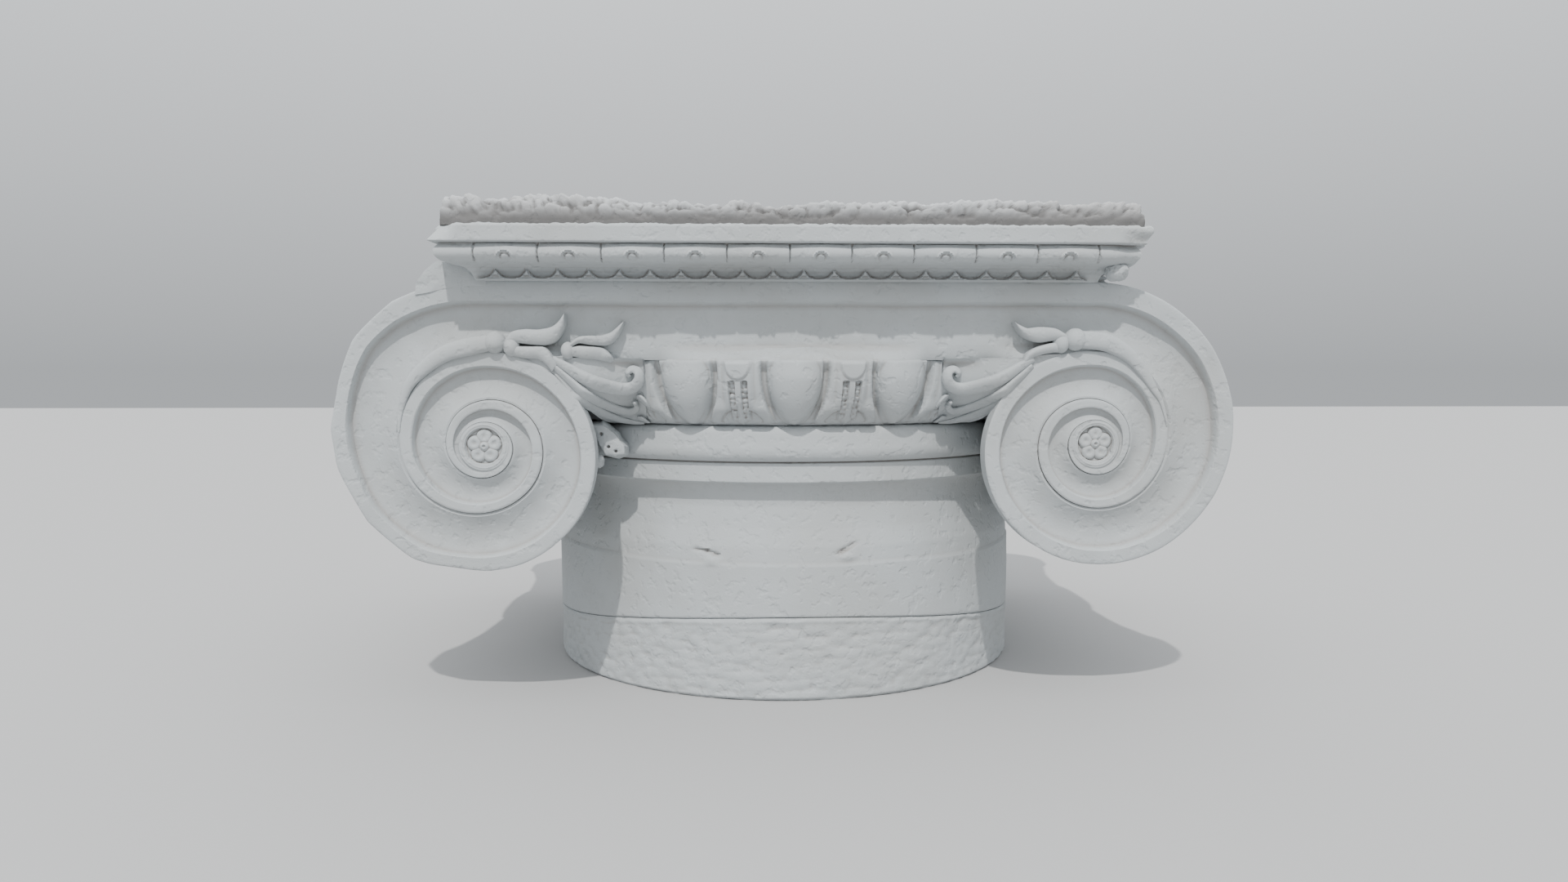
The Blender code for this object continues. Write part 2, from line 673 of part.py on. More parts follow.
def build():
    """Build the capital and the rough drum."""
    clear_scene()
    capital = lathe("capital", neck_profile(), ROUND_STEPS)
    low = (EYE_LEFT[0] - CORE_OVERLAP, -BODY_HALF_DEPTH, CORE_LOW)
    high = (EYE_RIGHT[0] + CORE_OVERLAP, BODY_HALF_DEPTH, CANAL_TOP - CORE_DROP)
    union(capital, box("core", low, high))
    for name, vol in (("bolster_left", LEFT), ("bolster_right", RIGHT)):
        union(capital, bolster(name, vol))
    union(capital, face_plate("face_front", FRONT_STEPS_PER_TURN))
    back = face_plate("face_back", BACK_STEPS_PER_TURN)
    back.data.transform(Matrix.Scale(-1.0, 4, (0, 1, 0)))
    back.data.flip_normals()
    union(capital, back)
    abacus = [(ABACUS_HALF - inset, height) for inset, height in ABACUS_INSETS]
    union(capital, square_moulding("abacus", abacus))
    union(capital, leaf_rows("leaves"))
    union(capital, ragged_bed("bed"))
    union(capital, shells("shells", 0.0))
    for facing in (0.0, math.pi):
        union(capital, straps("straps", facing))
        union(capital, eggs("eggs", facing))
    for side in (-1, 1):
        for path in (STEM,) + PETALS:
            union(capital, spray("flower", side, (path,), 0.0045))
        for path in FRONDS:
            union(capital, spray("frond", side, (path,), 0.0079))
        eye = EYE_LEFT if side < 0 else EYE_RIGHT
        place = (side * BEAD_ALONG, BEAD_SINK - FACE_DISTANCE, BEAD_HEIGHT)
        union(capital, lump("bead", place, (BEAD_RADIUS, BEAD_RADIUS, BEAD_RADIUS), 2, 1))
        for k in range(5):
            a = 2 * math.pi * k / 5
            x = eye[0] + 0.58 * ROSETTE_RADIUS * math.sin(a)
            z = eye[1] + 0.58 * ROSETTE_RADIUS * math.cos(a)
            size = (PETAL_RADIUS, PETAL_RISE, PETAL_RADIUS)
            union(capital, lump("petal", (x, EYE_DEPTH - FACE_DISTANCE, z), size, 1, 2))
        size = (BUTTON_RADIUS, BUTTON_RISE, BUTTON_RADIUS)
        union(capital, lump("button", (eye[0], EYE_DEPTH - FACE_DISTANCE, eye[1]), size, 1, 3))
    union(capital, spray("second_flower", -1, (SECOND_FLOWER,), 0.006))
    union(capital, lump("mortar_left", MORTAR_LEFT_PLACE, MORTAR_LEFT_SIZE, 1, 4))
    inset_x, inset_y = MORTAR_RIGHT_INSET
    place = (ABACUS_HALF - inset_x, inset_y - ABACUS_HALF, MORTAR_RIGHT_HEIGHT)
    union(capital, lump("mortar_right", place, MORTAR_RIGHT_SIZE, 1, 5))
    union(capital, lump("shoulder", SHOULDER_PLACE, SHOULDER_SIZE, 2, 6))
    finish(capital)
    drum = lathe("rough_drum", drum_profile(), ROUND_STEPS)
    finish(drum)
    for ob in (capital, drum):
        print(ob.name, len(ob.data.polygons), "triangles", [round(v, 4) for v in ob.dimensions])


build()
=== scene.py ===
"""Dressed scene of a carved stone ionic capital on its short rough drum.

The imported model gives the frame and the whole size. Each sub-assembly is a class that holds its
own sizes and makes its mesh. Every piece is then dressed in one of three finishes of stone.
"""

import logging
import math
from dataclasses import dataclass
from enum import Enum
from typing import Callable, Sequence

import bpy
import numpy as np
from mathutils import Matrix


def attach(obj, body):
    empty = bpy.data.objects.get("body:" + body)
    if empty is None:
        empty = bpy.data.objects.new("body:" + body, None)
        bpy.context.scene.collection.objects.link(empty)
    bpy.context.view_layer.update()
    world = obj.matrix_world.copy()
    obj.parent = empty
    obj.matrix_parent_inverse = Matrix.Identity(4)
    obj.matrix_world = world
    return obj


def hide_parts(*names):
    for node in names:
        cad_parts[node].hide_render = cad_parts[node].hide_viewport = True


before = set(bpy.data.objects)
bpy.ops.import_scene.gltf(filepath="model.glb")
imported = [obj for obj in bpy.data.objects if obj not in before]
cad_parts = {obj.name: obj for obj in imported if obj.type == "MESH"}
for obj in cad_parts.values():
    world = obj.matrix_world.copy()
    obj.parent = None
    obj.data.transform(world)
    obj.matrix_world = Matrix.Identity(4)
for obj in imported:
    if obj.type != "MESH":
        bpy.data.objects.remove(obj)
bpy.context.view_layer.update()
LOG = logging.getLogger("capital")

Array = np.ndarray
Placer = Callable[[Array, Array], Array]
Line = tuple[tuple[float, float], ...]
Colour = tuple[float, float, float]

WELD = 0.000002
CRACK = 0.0006
HIDDEN_STRETCH = 0.1
LEAST_REACH = 0.05
DRUM_RADIUS = 0.2800
JOINT_HEIGHT = 0.0716
JOINT_WAVE = 0.0160
FACE_DISTANCE = 0.3024
CANAL_TOP = 0.4290
CANAL_FLOOR = 0.3517


class Side(Enum):
    """The two ends of a face, by the sign of X."""

    LEFT = -1
    RIGHT = 1


class Facing(Enum):
    """The two carved faces, by the sign of Y."""

    FRONT = -1
    BACK = 1


def lattice_noise(points: Array, scale: float, seed: int) -> Array:
    """Give smooth noise between -1 and 1 at each point.

    Args:
        points: Positions in metres, one row each.
        scale: Size of one lump of the noise in metres.
        seed: Number that picks the pattern.

    Returns:
        One value for each point.
    """
    cell = points / scale + seed * 17.31
    base = np.floor(cell).astype(np.int64)
    part = cell - base
    part = part * part * (3.0 - 2.0 * part)
    total = np.zeros(len(points))
    for corner in range(8):
        step = np.array([corner & 1, corner >> 1 & 1, corner >> 2 & 1])
        key = base + step
        mixed = key[:, 0] * 374761393 + key[:, 1] * 668265263 + key[:, 2] * 1274126177 + seed * 974711
        mixed = (mixed ^ (mixed >> 13)) * 1103515245
        value = ((mixed >> 8) & 0xFFFF) / 32767.5 - 1.0
        weight = np.prod(np.where(step == 1, part, 1.0 - part), axis=1)
        total += value * weight
    return total


def rough_noise(points: Array, scale: float, seed: int, octaves: int = 3) -> Array:
    """Give layered noise, each layer half the size and a little over half the height.

    Args:
        points: Positions in metres, one row each.
        scale: Size of one lump in metres.
        seed: Number that picks the pattern.
        octaves: Number of layers.

    Returns:
        One value for each point.
    """
    total = np.zeros(len(points))
    height = 1.0
    for layer in range(octaves):
        total += height * lattice_noise(points, scale / 2**layer, seed + layer)
        height *= 0.55
    return total


def knob_noise(points: Array, scale: float, seed: int) -> Array:
    """Give rounded lumps between 0 and 1, as in broken mortar.

    Args:
        points: Positions in metres, one row each.
        scale: Size of one lump in metres.
        seed: Number that picks the pattern.

    Returns:
        One value for each point.
    """
    cell = points / scale
    base = np.floor(cell).astype(np.int64)
    best = np.full(len(points), 9.0)
    for dx in (-1, 0, 1):
        for dy in (-1, 0, 1):
            for dz in (-1, 0, 1):
                key = base + np.array([dx, dy, dz])
                spots = []
                for axis in range(3):
                    mixed = key[:, 0] * 73856093 + key[:, 1] * 19349663 + key[:, 2] * 83492791
                    mixed = (mixed + seed * 7919 + axis * 104729) * 1103515245
                    mixed ^= mixed >> 11
                    spots.append(((mixed >> 7) & 0xFFFF) / 65535.0)
                spot = key + np.stack(spots, axis=1)
                best = np.minimum(best, np.sum((cell - spot) ** 2, axis=1))
    return np.clip(1.0 - best, 0.0, 1.0)


def smooth_step(low: float, high: float, value: Array) -> Array:
    """Rise smoothly from 0 at low to 1 at high."""
    share = np.clip((value - low) / (high - low), 0.0, 1.0)
    return share * share * (3.0 - 2.0 * share)


def curve_value(values: Sequence[float], position: Array) -> Array:
    """Interpolate evenly spaced values with a smooth curve through all of them.

    Args:
        values: The values at positions 0, 1, 2 and so on.
        position: Where to read the curve.

    Returns:
        The curve's value at each position.
    """
    table = np.asarray(values, dtype=float)
    last = len(table) - 1
    k = np.clip(np.floor(position).astype(int), 0, last - 1)
    f = np.clip(position - k, 0.0, 1.0)
    a = table[np.maximum(k - 1, 0)]
    b = table[k]
    c = table[k + 1]
    d = table[np.minimum(k + 2, last)]
    slope_b = 0.5 * (c - a)
    slope_c = 0.5 * (d - b)
    rise = (2 * f**3 - 3 * f**2 + 1) * b + (f**3 - 2 * f**2 + f) * slope_b
    return rise + (3 * f**2 - 2 * f**3) * c + (f**3 - f**2) * slope_c


def local_wrap(value: Array, width: float) -> Array:
    """Return the signed distance to the nearest multiple of a width."""
    return (value + width / 2.0) % width - width / 2.0


def read_table(table: Line, value: Array) -> Array:
    """Read a table of places and values, straight between its rows."""
    return np.interp(value, *np.array(table).T)


def half_circle(share: Array) -> Array:
    """Return the height of a unit half circle at a distance from its centre."""
    return np.sqrt(np.clip(1.0 - share**2, 0.0, 1.0))


def turn_angle(share: Array, steps: int) -> Array:
    """Return the angle of the nearest of so many even steps round a full turn."""
    return 2.0 * math.pi * np.rint(share * steps) / steps


def round_axis(points: Array) -> tuple[Array, Array]:
    """Return each point's distance from the upright axis and its angle from the front."""
    return np.hypot(points[:, 0], points[:, 1]), np.arctan2(points[:, 0], -points[:, 1])


def push_out(points: Array, out: Array) -> Array:
    """Move points away from the upright axis by a distance.

    Args:
        points: Positions in metres, one row each.
        out: Distance for each point.

    Returns:
        The moved points.
    """
    grown = points.copy()
    grown[:, :2] *= (1.0 + out / np.maximum(round_axis(points)[0], LEAST_REACH))[:, None]
    return grown


def shake(points: Array, amount: float, scale: float, seed: int) -> Array:
    """Move points unevenly in all three directions."""
    return points + amount * np.stack([rough_noise(points, scale, seed + k) for k in range(3)], axis=1)


def clear_selection() -> None:
    """Leave object mode with nothing selected."""
    if bpy.context.mode != "OBJECT":
        bpy.ops.object.mode_set(mode="OBJECT")
    bpy.ops.object.select_all(action="DESELECT")


def take(ob: bpy.types.Object) -> None:
    """Select one object alone and make it active.

    Args:
        ob: The object.
    """
    clear_selection()
    ob.select_set(True)
    bpy.context.view_layer.objects.active = ob


def give_name(ob: bpy.types.Object, name: str) -> bpy.types.Object:
    """Name an object and its mesh.

    Args:
        ob: The object.
        name: Name of the piece.

    Returns:
        The same object.
    """
    ob.name = name
    ob.data.name = name
    return ob


def wire(first: bpy.types.Node, output: str, second: bpy.types.Node, socket: str) -> None:
    """Link the output of one shader node to the input of another."""
    first.id_data.links.new(first.outputs[output], second.inputs[socket])


def get_points(ob: bpy.types.Object) -> Array:
    """Return the object's vertex positions, one row each.

    Args:
        ob: The object.

    Returns:
        The positions.
    """
    flat = np.empty(len(ob.data.vertices) * 3)
    ob.data.vertices.foreach_get("co", flat)
    return flat.reshape(-1, 3)


def set_points(ob: bpy.types.Object, points: Array) -> None:
    """Move the object's vertices to new positions."""
    ob.data.vertices.foreach_set("co", np.ascontiguousarray(points, dtype=float).ravel())
    ob.data.update()


def reshape(ob: bpy.types.Object, change: Callable[[Array], Array]) -> bpy.types.Object:
    """Move an object's vertices to where a function puts them."""
    set_points(ob, change(get_points(ob)))
    return ob


def grid_sheet(name: str, columns: int, rows: int, place: Placer) -> bpy.types.Object:
    """Add a grid and lay it over a form.

    Args:
        name: Name of the new piece.
        columns: Number of faces along the first direction.
        rows: Number of faces along the second direction.
        place: Gives a position for each pair of shares from 0 to 1.

    Returns:
        The new object, still open at its edges.
    """
    clear_selection()
    bpy.ops.mesh.primitive_grid_add(x_subdivisions=columns, y_subdivisions=rows, size=2.0)
    ob = give_name(bpy.context.active_object, name)
    flat = get_points(ob)
    set_points(ob, place((flat[:, 0] + 1.0) / 2.0, (flat[:, 1] + 1.0) / 2.0))
    return ob


def weld(ob: bpy.types.Object, cap: bool = False) -> bpy.types.Object:
    """Merge doubled points, close an open rim if asked and turn the faces outwards.

    Args:
        ob: The object.
        cap: Whether an open rim is closed first.

    Returns:
        The same object.
    """
    take(ob)
    bpy.ops.object.mode_set(mode="EDIT")
    bpy.ops.mesh.select_all(action="SELECT")
    bpy.ops.mesh.remove_doubles(threshold=WELD)
    if cap:
        bpy.ops.mesh.select_mode(type="EDGE")
        bpy.ops.mesh.select_all(action="DESELECT")
        bpy.ops.mesh.select_non_manifold(use_wire=False, use_multi_face=False,
                                         use_non_contiguous=False, use_verts=False)
        bpy.ops.mesh.edge_face_add()
        bpy.ops.mesh.select_mode(type="VERT")
    bpy.ops.mesh.select_all(action="SELECT")
    bpy.ops.mesh.normals_make_consistent(inside=False)
    bpy.ops.object.mode_set(mode="OBJECT")
    return ob


def mend(ob: bpy.types.Object) -> bpy.types.Object:
    """Close the hair cracks that are left where a sheet runs out.

    Args:
        ob: The object.

    Returns:
        The same object.
    """
    take(ob)
    bpy.ops.object.mode_set(mode="EDIT")
    bpy.ops.mesh.select_mode(type="VERT")
    bpy.ops.mesh.select_all(action="DESELECT")
    bpy.ops.mesh.select_non_manifold(use_wire=True, use_verts=True)
    bpy.ops.mesh.remove_doubles(threshold=CRACK)
    bpy.ops.mesh.select_all(action="SELECT")
    bpy.ops.mesh.dissolve_degenerate(threshold=WELD)
    bpy.ops.mesh.select_all(action="DESELECT")
    bpy.ops.mesh.select_non_manifold(use_wire=True, use_multi_face=False, use_non_contiguous=False)
    bpy.ops.mesh.fill_holes(sides=0)
    bpy.ops.mesh.select_all(action="SELECT")
    bpy.ops.mesh.normals_make_consistent(inside=False)
    bpy.ops.object.mode_set(mode="OBJECT")
    return ob


def join(parts: Sequence[bpy.types.Object], name: str) -> bpy.types.Object:
    """Join several objects into one.

    Args:
        parts: The objects. The first takes in the others.
        name: Name of the piece.

    Returns:
        The joined object.
    """
    clear_selection()
    for part in parts:
        part.select_set(True)
    bpy.context.view_layer.objects.active = parts[0]
    bpy.ops.object.join()
    return give_name(bpy.context.active_object, name)


def smooth(ob: bpy.types.Object, degrees: float = 40.0) -> None:
    """Shade a piece smooth, with edges sharper than the angle kept."""
    take(ob)
    bpy.ops.object.shade_smooth_by_angle(angle=math.radians(degrees))


def turned(radius: Array, angle: Array, height: Array) -> Array:
    """Return positions from a radius, an angle from the front and a height."""
    return np.stack([radius * np.sin(angle), -radius * np.cos(angle), height], axis=1)


def stations(profile: Sequence[tuple[float, float]], spacing: float) -> Array:
    """Split a profile into even steps, with one step on each stretch that stays hidden.

    Args:
        profile: Points of the profile.
        spacing: Length of a step in metres.

    Returns:
        The stations, one row each.
    """
    rows = [profile[0]]
    for (ax, az), (bx, bz) in zip(profile, profile[1:]):
        length = math.hypot(bx - ax, bz - az)
        count = 1 if length > HIDDEN_STRETCH else max(1, round(length / spacing))
        rows += [(ax + (bx - ax) * k / count, az + (bz - az) * k / count) for k in range(1, count + 1)]
    return np.array(rows)


def arc(centre: tuple[float, float], radii: tuple[float, float], start: float, end: float,
        steps: int = 10) -> list[tuple[float, float]]:
    """Return points along part of an ellipse.

    Args:
        centre: Centre of the ellipse.
        radii: Its two half lengths.
        start: First angle in degrees.
        end: Last angle in degrees.
        steps: Number of steps.

    Returns:
        The points, both ends included.
    """
    angles = np.radians(np.linspace(start, end, steps + 1))
    return [(centre[0] + radii[0] * math.cos(a), centre[1] + radii[1] * math.sin(a)) for a in angles]


def joint_height(angle: Array) -> Array:
    """Return the height of the wavy joint between the drum and the neck."""
    return JOINT_HEIGHT + JOINT_WAVE * np.cos(2.0 * angle)


@dataclass(frozen=True)
class StoneFinish:
    """Weathered pale stone, with a grain, small pits and soft stains, and painted shade that darkens its
    hollows.
    """

    name: str
    pale: Colour = (0.440, 0.466, 0.476)
    stain: Colour = (0.400, 0.414, 0.412)
    # Painted shade: the colour laid into hollows and creases, where shade falls.
    hollow: Colour = (0.330, 0.318, 0.305)
    stained: tuple[float, float] = (0.45, 0.75)
    shade_pointiness: tuple[float, float] = (0.500, 0.440)
    pitted: tuple[float, float] = (0.32, 0.46)
    roughness: float = 0.88
    specular: float = 0.25
    stain_size: float = 9.0
    grain_size: float = 420.0
    grain_depth: float = 0.00025
    pit_size: float = 95.0
    pit_depth: float = 0.0006
    # Name of the point attribute that marks lump crests painted as lit; empty for none.
    painted_lit_crest: str = ""

    def build(self) -> bpy.types.Material:
        """Make the material.

        Returns:
            The new material.
        """
        mat = bpy.data.materials.new(self.name)
        mat.use_nodes = True
        tree = mat.node_tree
        shader = tree.nodes["Principled BSDF"]
        place = tree.nodes.new("ShaderNodeTexCoord")
        cloud = self.noise(tree, place, self.stain_size, 5.0)
        tint = self.blend(tree, self.pale, self.stain)
        soft = self.steps(tree, *self.stained)
        wire(cloud, "Fac", soft, "Value")
        wire(soft, "Result", tint, "Factor")
        # Painted shade: low pointiness (hollows, creases) mixes the colour towards the dark hollow colour.
        shape = tree.nodes.new("ShaderNodeNewGeometry")
        painted_shade_mask = self.steps(tree, *self.shade_pointiness)
        wire(shape, "Pointiness", painted_shade_mask, "Value")
        painted_shade_mix = self.blend(tree, self.pale, self.hollow)
        wire(tint, "Result", painted_shade_mix, "A")
        wire(painted_shade_mask, "Result", painted_shade_mix, "Factor")
        colour = painted_shade_mix
        # Painted light and shade: marked lump crests keep the pale colour as a painted highlight; the rest
        # falls to the hollow colour as painted shade.
        if self.painted_lit_crest:
            mark = tree.nodes.new("ShaderNodeAttribute")
            mark.attribute_name = self.painted_lit_crest
            colour = self.blend(tree, self.hollow, self.pale)
            wire(painted_shade_mix, "Result", colour, "B")
            wire(mark, "Fac", colour, "Factor")
        wire(colour, "Result", shader, "Base Color")
        shader.inputs["Roughness"].default_value = self.roughness
        shader.inputs["Specular IOR Level"].default_value = self.specular
        grain = self.noise(tree, place, self.grain_size, 4.0)
        pits = self.noise(tree, place, self.pit_size, 2.0)
        deep = self.steps(tree, *self.pitted)
        wire(pits, "Fac", deep, "Value")
        low = self.bump(tree, self.grain_depth)
        wire(grain, "Fac", low, "Height")
        high = self.bump(tree, self.pit_depth)
        wire(deep, "Result", high, "Height")
        wire(low, "Normal", high, "Normal")
        wire(high, "Normal", shader, "Normal")
        return mat

    @staticmethod
    def noise(tree: bpy.types.NodeTree, place: bpy.types.Node, scale: float,
              detail: float) -> bpy.types.Node:
        """Add a noise pattern on the piece's own coordinates.

        Args:
            tree: The material's node tree.
            place: The node that gives the coordinates.
            scale: Fineness of the pattern.
            detail: Number of finer layers.

        Returns:
            The new node.
        """
        node = tree.nodes.new("ShaderNodeTexNoise")
        node.inputs["Scale"].default_value = scale
        node.inputs["Detail"].default_value = detail
        wire(place, "Object", node, "Vector")
        return node

    @staticmethod
    def blend(tree: bpy.types.NodeTree, first: Colour, second: Colour) -> bpy.types.Node:
        """Add a mix of two colours.

        Args:
            tree: The material's node tree.
            first: Colour where the factor is 0.
            second: Colour where the factor is 1.

        Returns:
            The new node.
        """
        node = tree.nodes.new("ShaderNodeMix")
        node.data_type = "RGBA"
        node.inputs["A"].default_value = (*first, 1.0)
        node.inputs["B"].default_value = (*second, 1.0)
        return node

    @staticmethod
    def steps(tree: bpy.types.NodeTree, low: float, high: float) -> bpy.types.Node:
        """Add a map from a range of values to 0 and 1.

        Args:
            tree: The material's node tree.
            low: Value that becomes 0.
            high: Value that becomes 1.

        Returns:
            The new node.
        """
        node = tree.nodes.new("ShaderNodeMapRange")
        node.inputs["From Min"].default_value = low
        node.inputs["From Max"].default_value = high
        return node

    @staticmethod
    def bump(tree: bpy.types.NodeTree, depth: float) -> bpy.types.Node:
        """Add a relief of a depth in metres.

        Args:
            tree: The material's node tree.
            depth: Height of the relief in metres.

        Returns:
            The new node.
        """
        node = tree.nodes.new("ShaderNodeBump")
        node.inputs["Distance"].default_value = depth
        return node


def dress(ob: bpy.types.Object, mat: bpy.types.Material, node: str,
          sharp: float = 40.0) -> bpy.types.Object:
    """Give a finished piece its stone and its body, and hide the imported part that it stands for.

    Args:
        ob: The object.
        mat: The stone.
        node: Name of the node that the piece stands for.
        sharp: Angle in degrees from which an edge stays sharp.

    Returns:
        The same object.
    """
    ob.data.materials.clear()
    ob.data.materials.append(mat)
    smooth(ob, sharp)
    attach(ob, "root")
    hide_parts(node)
    LOG.info("%s has %d faces", ob.name, len(ob.data.polygons))
    return ob


@dataclass
class Volute:
    """One scroll of a face, wound from the top of the face outwards and down to its eye."""

    side: Side
    eye: tuple[float, float]
    first_turn: tuple[float, ...]
    inner_turns: tuple[float, ...]
    fillet_widths: tuple[float, ...] = (0.0205, 0.0155, 0.0148, 0.0146, 0.0145, 0.0120, 0.0088, 0.0098,
                                        0.0086, 0.0068, 0.0055, 0.0035, 0.0)
    eye_radius: float = 0.0235
    battered: float = 0.0

    def radius(self, turn: Array) -> Array:
        """Return the outer edge radius after so many turns from the top.

        Args:
            turn: Turns from the top.

        Returns:
            The radius in metres.
        """
        first = curve_value(self.first_turn + (self.inner_turns[0],), np.clip(turn, 0.0, 1.0) * 8.0)
        inner = curve_value(self.inner_turns, (np.clip(turn, 1.0, 3.0) - 1.0) * 4.0)
        return np.where(turn < 1.0, first, inner)

    def width(self, turn: Array) -> Array:
        """Return the width of the raised fillet after so many turns."""
        return curve_value(self.fillet_widths, np.clip(turn, 0.0, 3.0) * 4.0)

    def at(self, radius: Array, turn: Array) -> tuple[Array, Array]:
        """Return the X and Z of a point at a radius and a turn."""
        angle = 2.0 * math.pi * turn
        return (self.eye[0] + self.side.value * radius * np.sin(angle),
                self.eye[1] + radius * np.cos(angle))

    def outer(self, turn: Array) -> tuple[Array, Array]:
        """Return the outer edge, running along the channel's top where turn is negative.

        Args:
            turn: Turns from the top.

        Returns:
            Its X and Z.
        """
        x, z = self.at(self.radius(turn), turn)
        straight = turn <= 0.0
        return (np.where(straight, self.eye[0] * (1.0 + turn), x), np.where(straight, CANAL_TOP, z))

    def inner(self, turn: Array) -> tuple[Array, Array]:
        """Return where the channel ends, at the next turn, the eye or the echinus.

        Args:
            turn: Turns from the top.

        Returns:
            Its X and Z.
        """
        inward = np.where(turn <= 2.0, self.radius(np.clip(turn, 0.0, 2.0) + 1.0), self.eye_radius)
        x, z = self.at(inward, turn)
        top = self.eye[1] + float(self.radius(np.array([1.0]))[0])
        floor = top + (CANAL_FLOOR - top) * np.clip(-4.0 * turn, 0.0, 1.0)
        straight = turn <= 0.0
        return np.where(straight, self.eye[0] * (1.0 + turn), x), np.where(straight, floor, z)


@dataclass
class ScrollFace:
    """The carved plate of one face: two scrolls and the channel between them."""

    facing: Facing
    volutes: tuple[Volute, Volute]
    steps_per_turn: int = 150
    rows: int = 30
    flank_rows: int = 5
    channel_depth: float = 0.0125
    channel_full_width: float = 0.0650
    rise_share: float = 0.22
    plate_depth: float = 0.0220
    edge_round: float = 0.0022
    undercut: float = 0.0022
    ledge_share: float = 0.170
    ring_radius: float = 0.3172
    most_recess: float = 0.0150
    recess_end: tuple[float, float] = (0.190, 0.245)
    wear: float = 0.0009
    wear_lump: float = 0.040
    widest_lip: float = 0.62
    wall_share: float = 0.055
    deepest: float = 0.36
    closing_span: float = 0.02
    knots: tuple[float, ...] = (0.0, 0.08, 0.20, 0.26, 0.36, 0.90, 0.985, 1.0)
    chip_lump: float = 0.055
    chip_reach: float = 0.028
    back_rows: int = 3

    def straight(self, turn: Array) -> Array:
        """Return 1 along the channel between the scrolls, fading to 0 where a scroll begins."""
        return smooth_step(0.0, -0.22, turn)

    def recess(self, x: Array) -> Array:
        """Return how far the channel's lower edge falls back over the round of the eggs.

        Args:
            x: Distance to the right of the middle.

        Returns:
            The distance in metres.
        """
        along = np.abs(x)
        ring = np.sqrt(np.clip(self.ring_radius**2 - along**2, 0.0001, 1.0))
        back = np.clip(FACE_DISTANCE - ring, 0.0, self.most_recess)
        return back * (1.0 - smooth_step(*self.recess_end, along))

    @property
    def rim_depth(self) -> float:
        """Return how far the rounded rim falls back from the face."""
        return 0.45 * self.edge_round

    def across(self, vol: Volute, turn: Array, share: Array) -> Array:
        """Place points across the fillet, the channel and the foot of the next turn's wall.

        Args:
            vol: The scroll.
            turn: Turns from the top for each point.
            share: Share across from the outer rim to the foot of the next fillet.

        Returns:
            Positions on the face that looks towards -Y.
        """
        x0, z0 = vol.outer(turn)
        x1, z1 = vol.inner(turn)
        dx = x1 - x0
        dz = z1 - z0
        span = np.maximum(np.hypot(dx, dz), 1e-7)
        lip = np.minimum(vol.width(turn) / span, self.widest_lip)
        deep = self.channel_depth * np.sqrt(np.minimum(span / self.channel_full_width, 1.0))
        fade = smooth_step(0.0, self.closing_span, span)
        edge = np.minimum(self.edge_round / span, 0.3 * lip)
        flat = self.straight(turn)
        nothing = np.zeros_like(lip)
        places = np.stack([nothing, edge, lip - edge, lip, lip + self.wall_share * (1.0 - lip),
                           1.0 - 0.4 * edge * (1.0 - flat) - 1.1 * self.ledge_share * flat,
                           nothing + 1.0, nothing + 1.0], axis=1)
        places = np.clip(places, 0.0, 1.0)
        part = np.interp(share, self.knots, np.arange(float(len(self.knots))))
        k = np.clip(np.floor(part).astype(int), 0, len(self.knots) - 2)
        f = part - k
        index = np.arange(len(part))
        s = places[index, k] * (1.0 - f) + places[index, k + 1] * f
        hollow = np.clip((s - lip) / np.maximum(1.0 - lip, 1e-6), 0.0, 1.0)
        bowl = deep * (1.0 - (np.abs(hollow - self.deepest) / (1.0 - self.deepest)) ** 2.0)
        start = deep * (1.0 - ((self.deepest - self.wall_share) / (1.0 - self.deepest)) ** 2.0)
        wall = start * np.clip(hollow / self.wall_share, 0.0, 1.0) ** 0.8
        depth = np.where(hollow < self.wall_share, wall, bowl)
        depth = np.maximum(depth, np.where(hollow > self.wall_share, self.rise_share * deep, 0.0))
        rounded = np.clip(1.0 - s / np.maximum(edge, 1e-9), 0.0, 1.0)
        depth += self.rim_depth * rounded**2
        depth += self.undercut * smooth_step(0.965, 1.0, hollow) * fade * (1.0 - flat)
        above = np.clip((1.0 - s) / self.ledge_share, 0.0, 1.0)
        back = self.recess(x1)
        ledge = self.channel_depth * above + back * (1.0 - above)
        depth = np.where(hollow > self.deepest, depth * (1.0 - flat) + ledge * flat, depth)
        foot = self.rim_depth * self.near_eye(turn + 1.0)
        depth = np.where(turn > 0.0, depth * fade, depth)
        depth = np.where(share > 0.999, np.where(turn > 0.0, foot * fade, foot + back), depth)
        rim = self.rim_depth * np.where(turn > 1.0, self.far(vol, turn - 1.0), 1.0) * self.near_eye(turn)
        depth = np.where(share < 0.001, rim, depth)
        return np.stack([x0 + s * dx, depth - FACE_DISTANCE, z0 + s * dz], axis=1)

    @staticmethod
    def near_eye(turn: Array) -> Array:
        """Return 1 along the scroll, fading to 0 where its third turn ends at the eye."""
        return smooth_step(3.0, 2.85, turn)

    def far(self, vol: Volute, turn: Array) -> Array:
        """Return 0 where a turn closes on the next one and 1 where it is well away from it.

        Args:
            vol: The scroll.
            turn: Turns from the top.

        Returns:
            The share at each turn.
        """
        x0, z0 = vol.outer(turn)
        x1, z1 = vol.inner(turn)
        return smooth_step(0.0, self.closing_span, np.maximum(np.hypot(x1 - x0, z1 - z0), 1e-7))

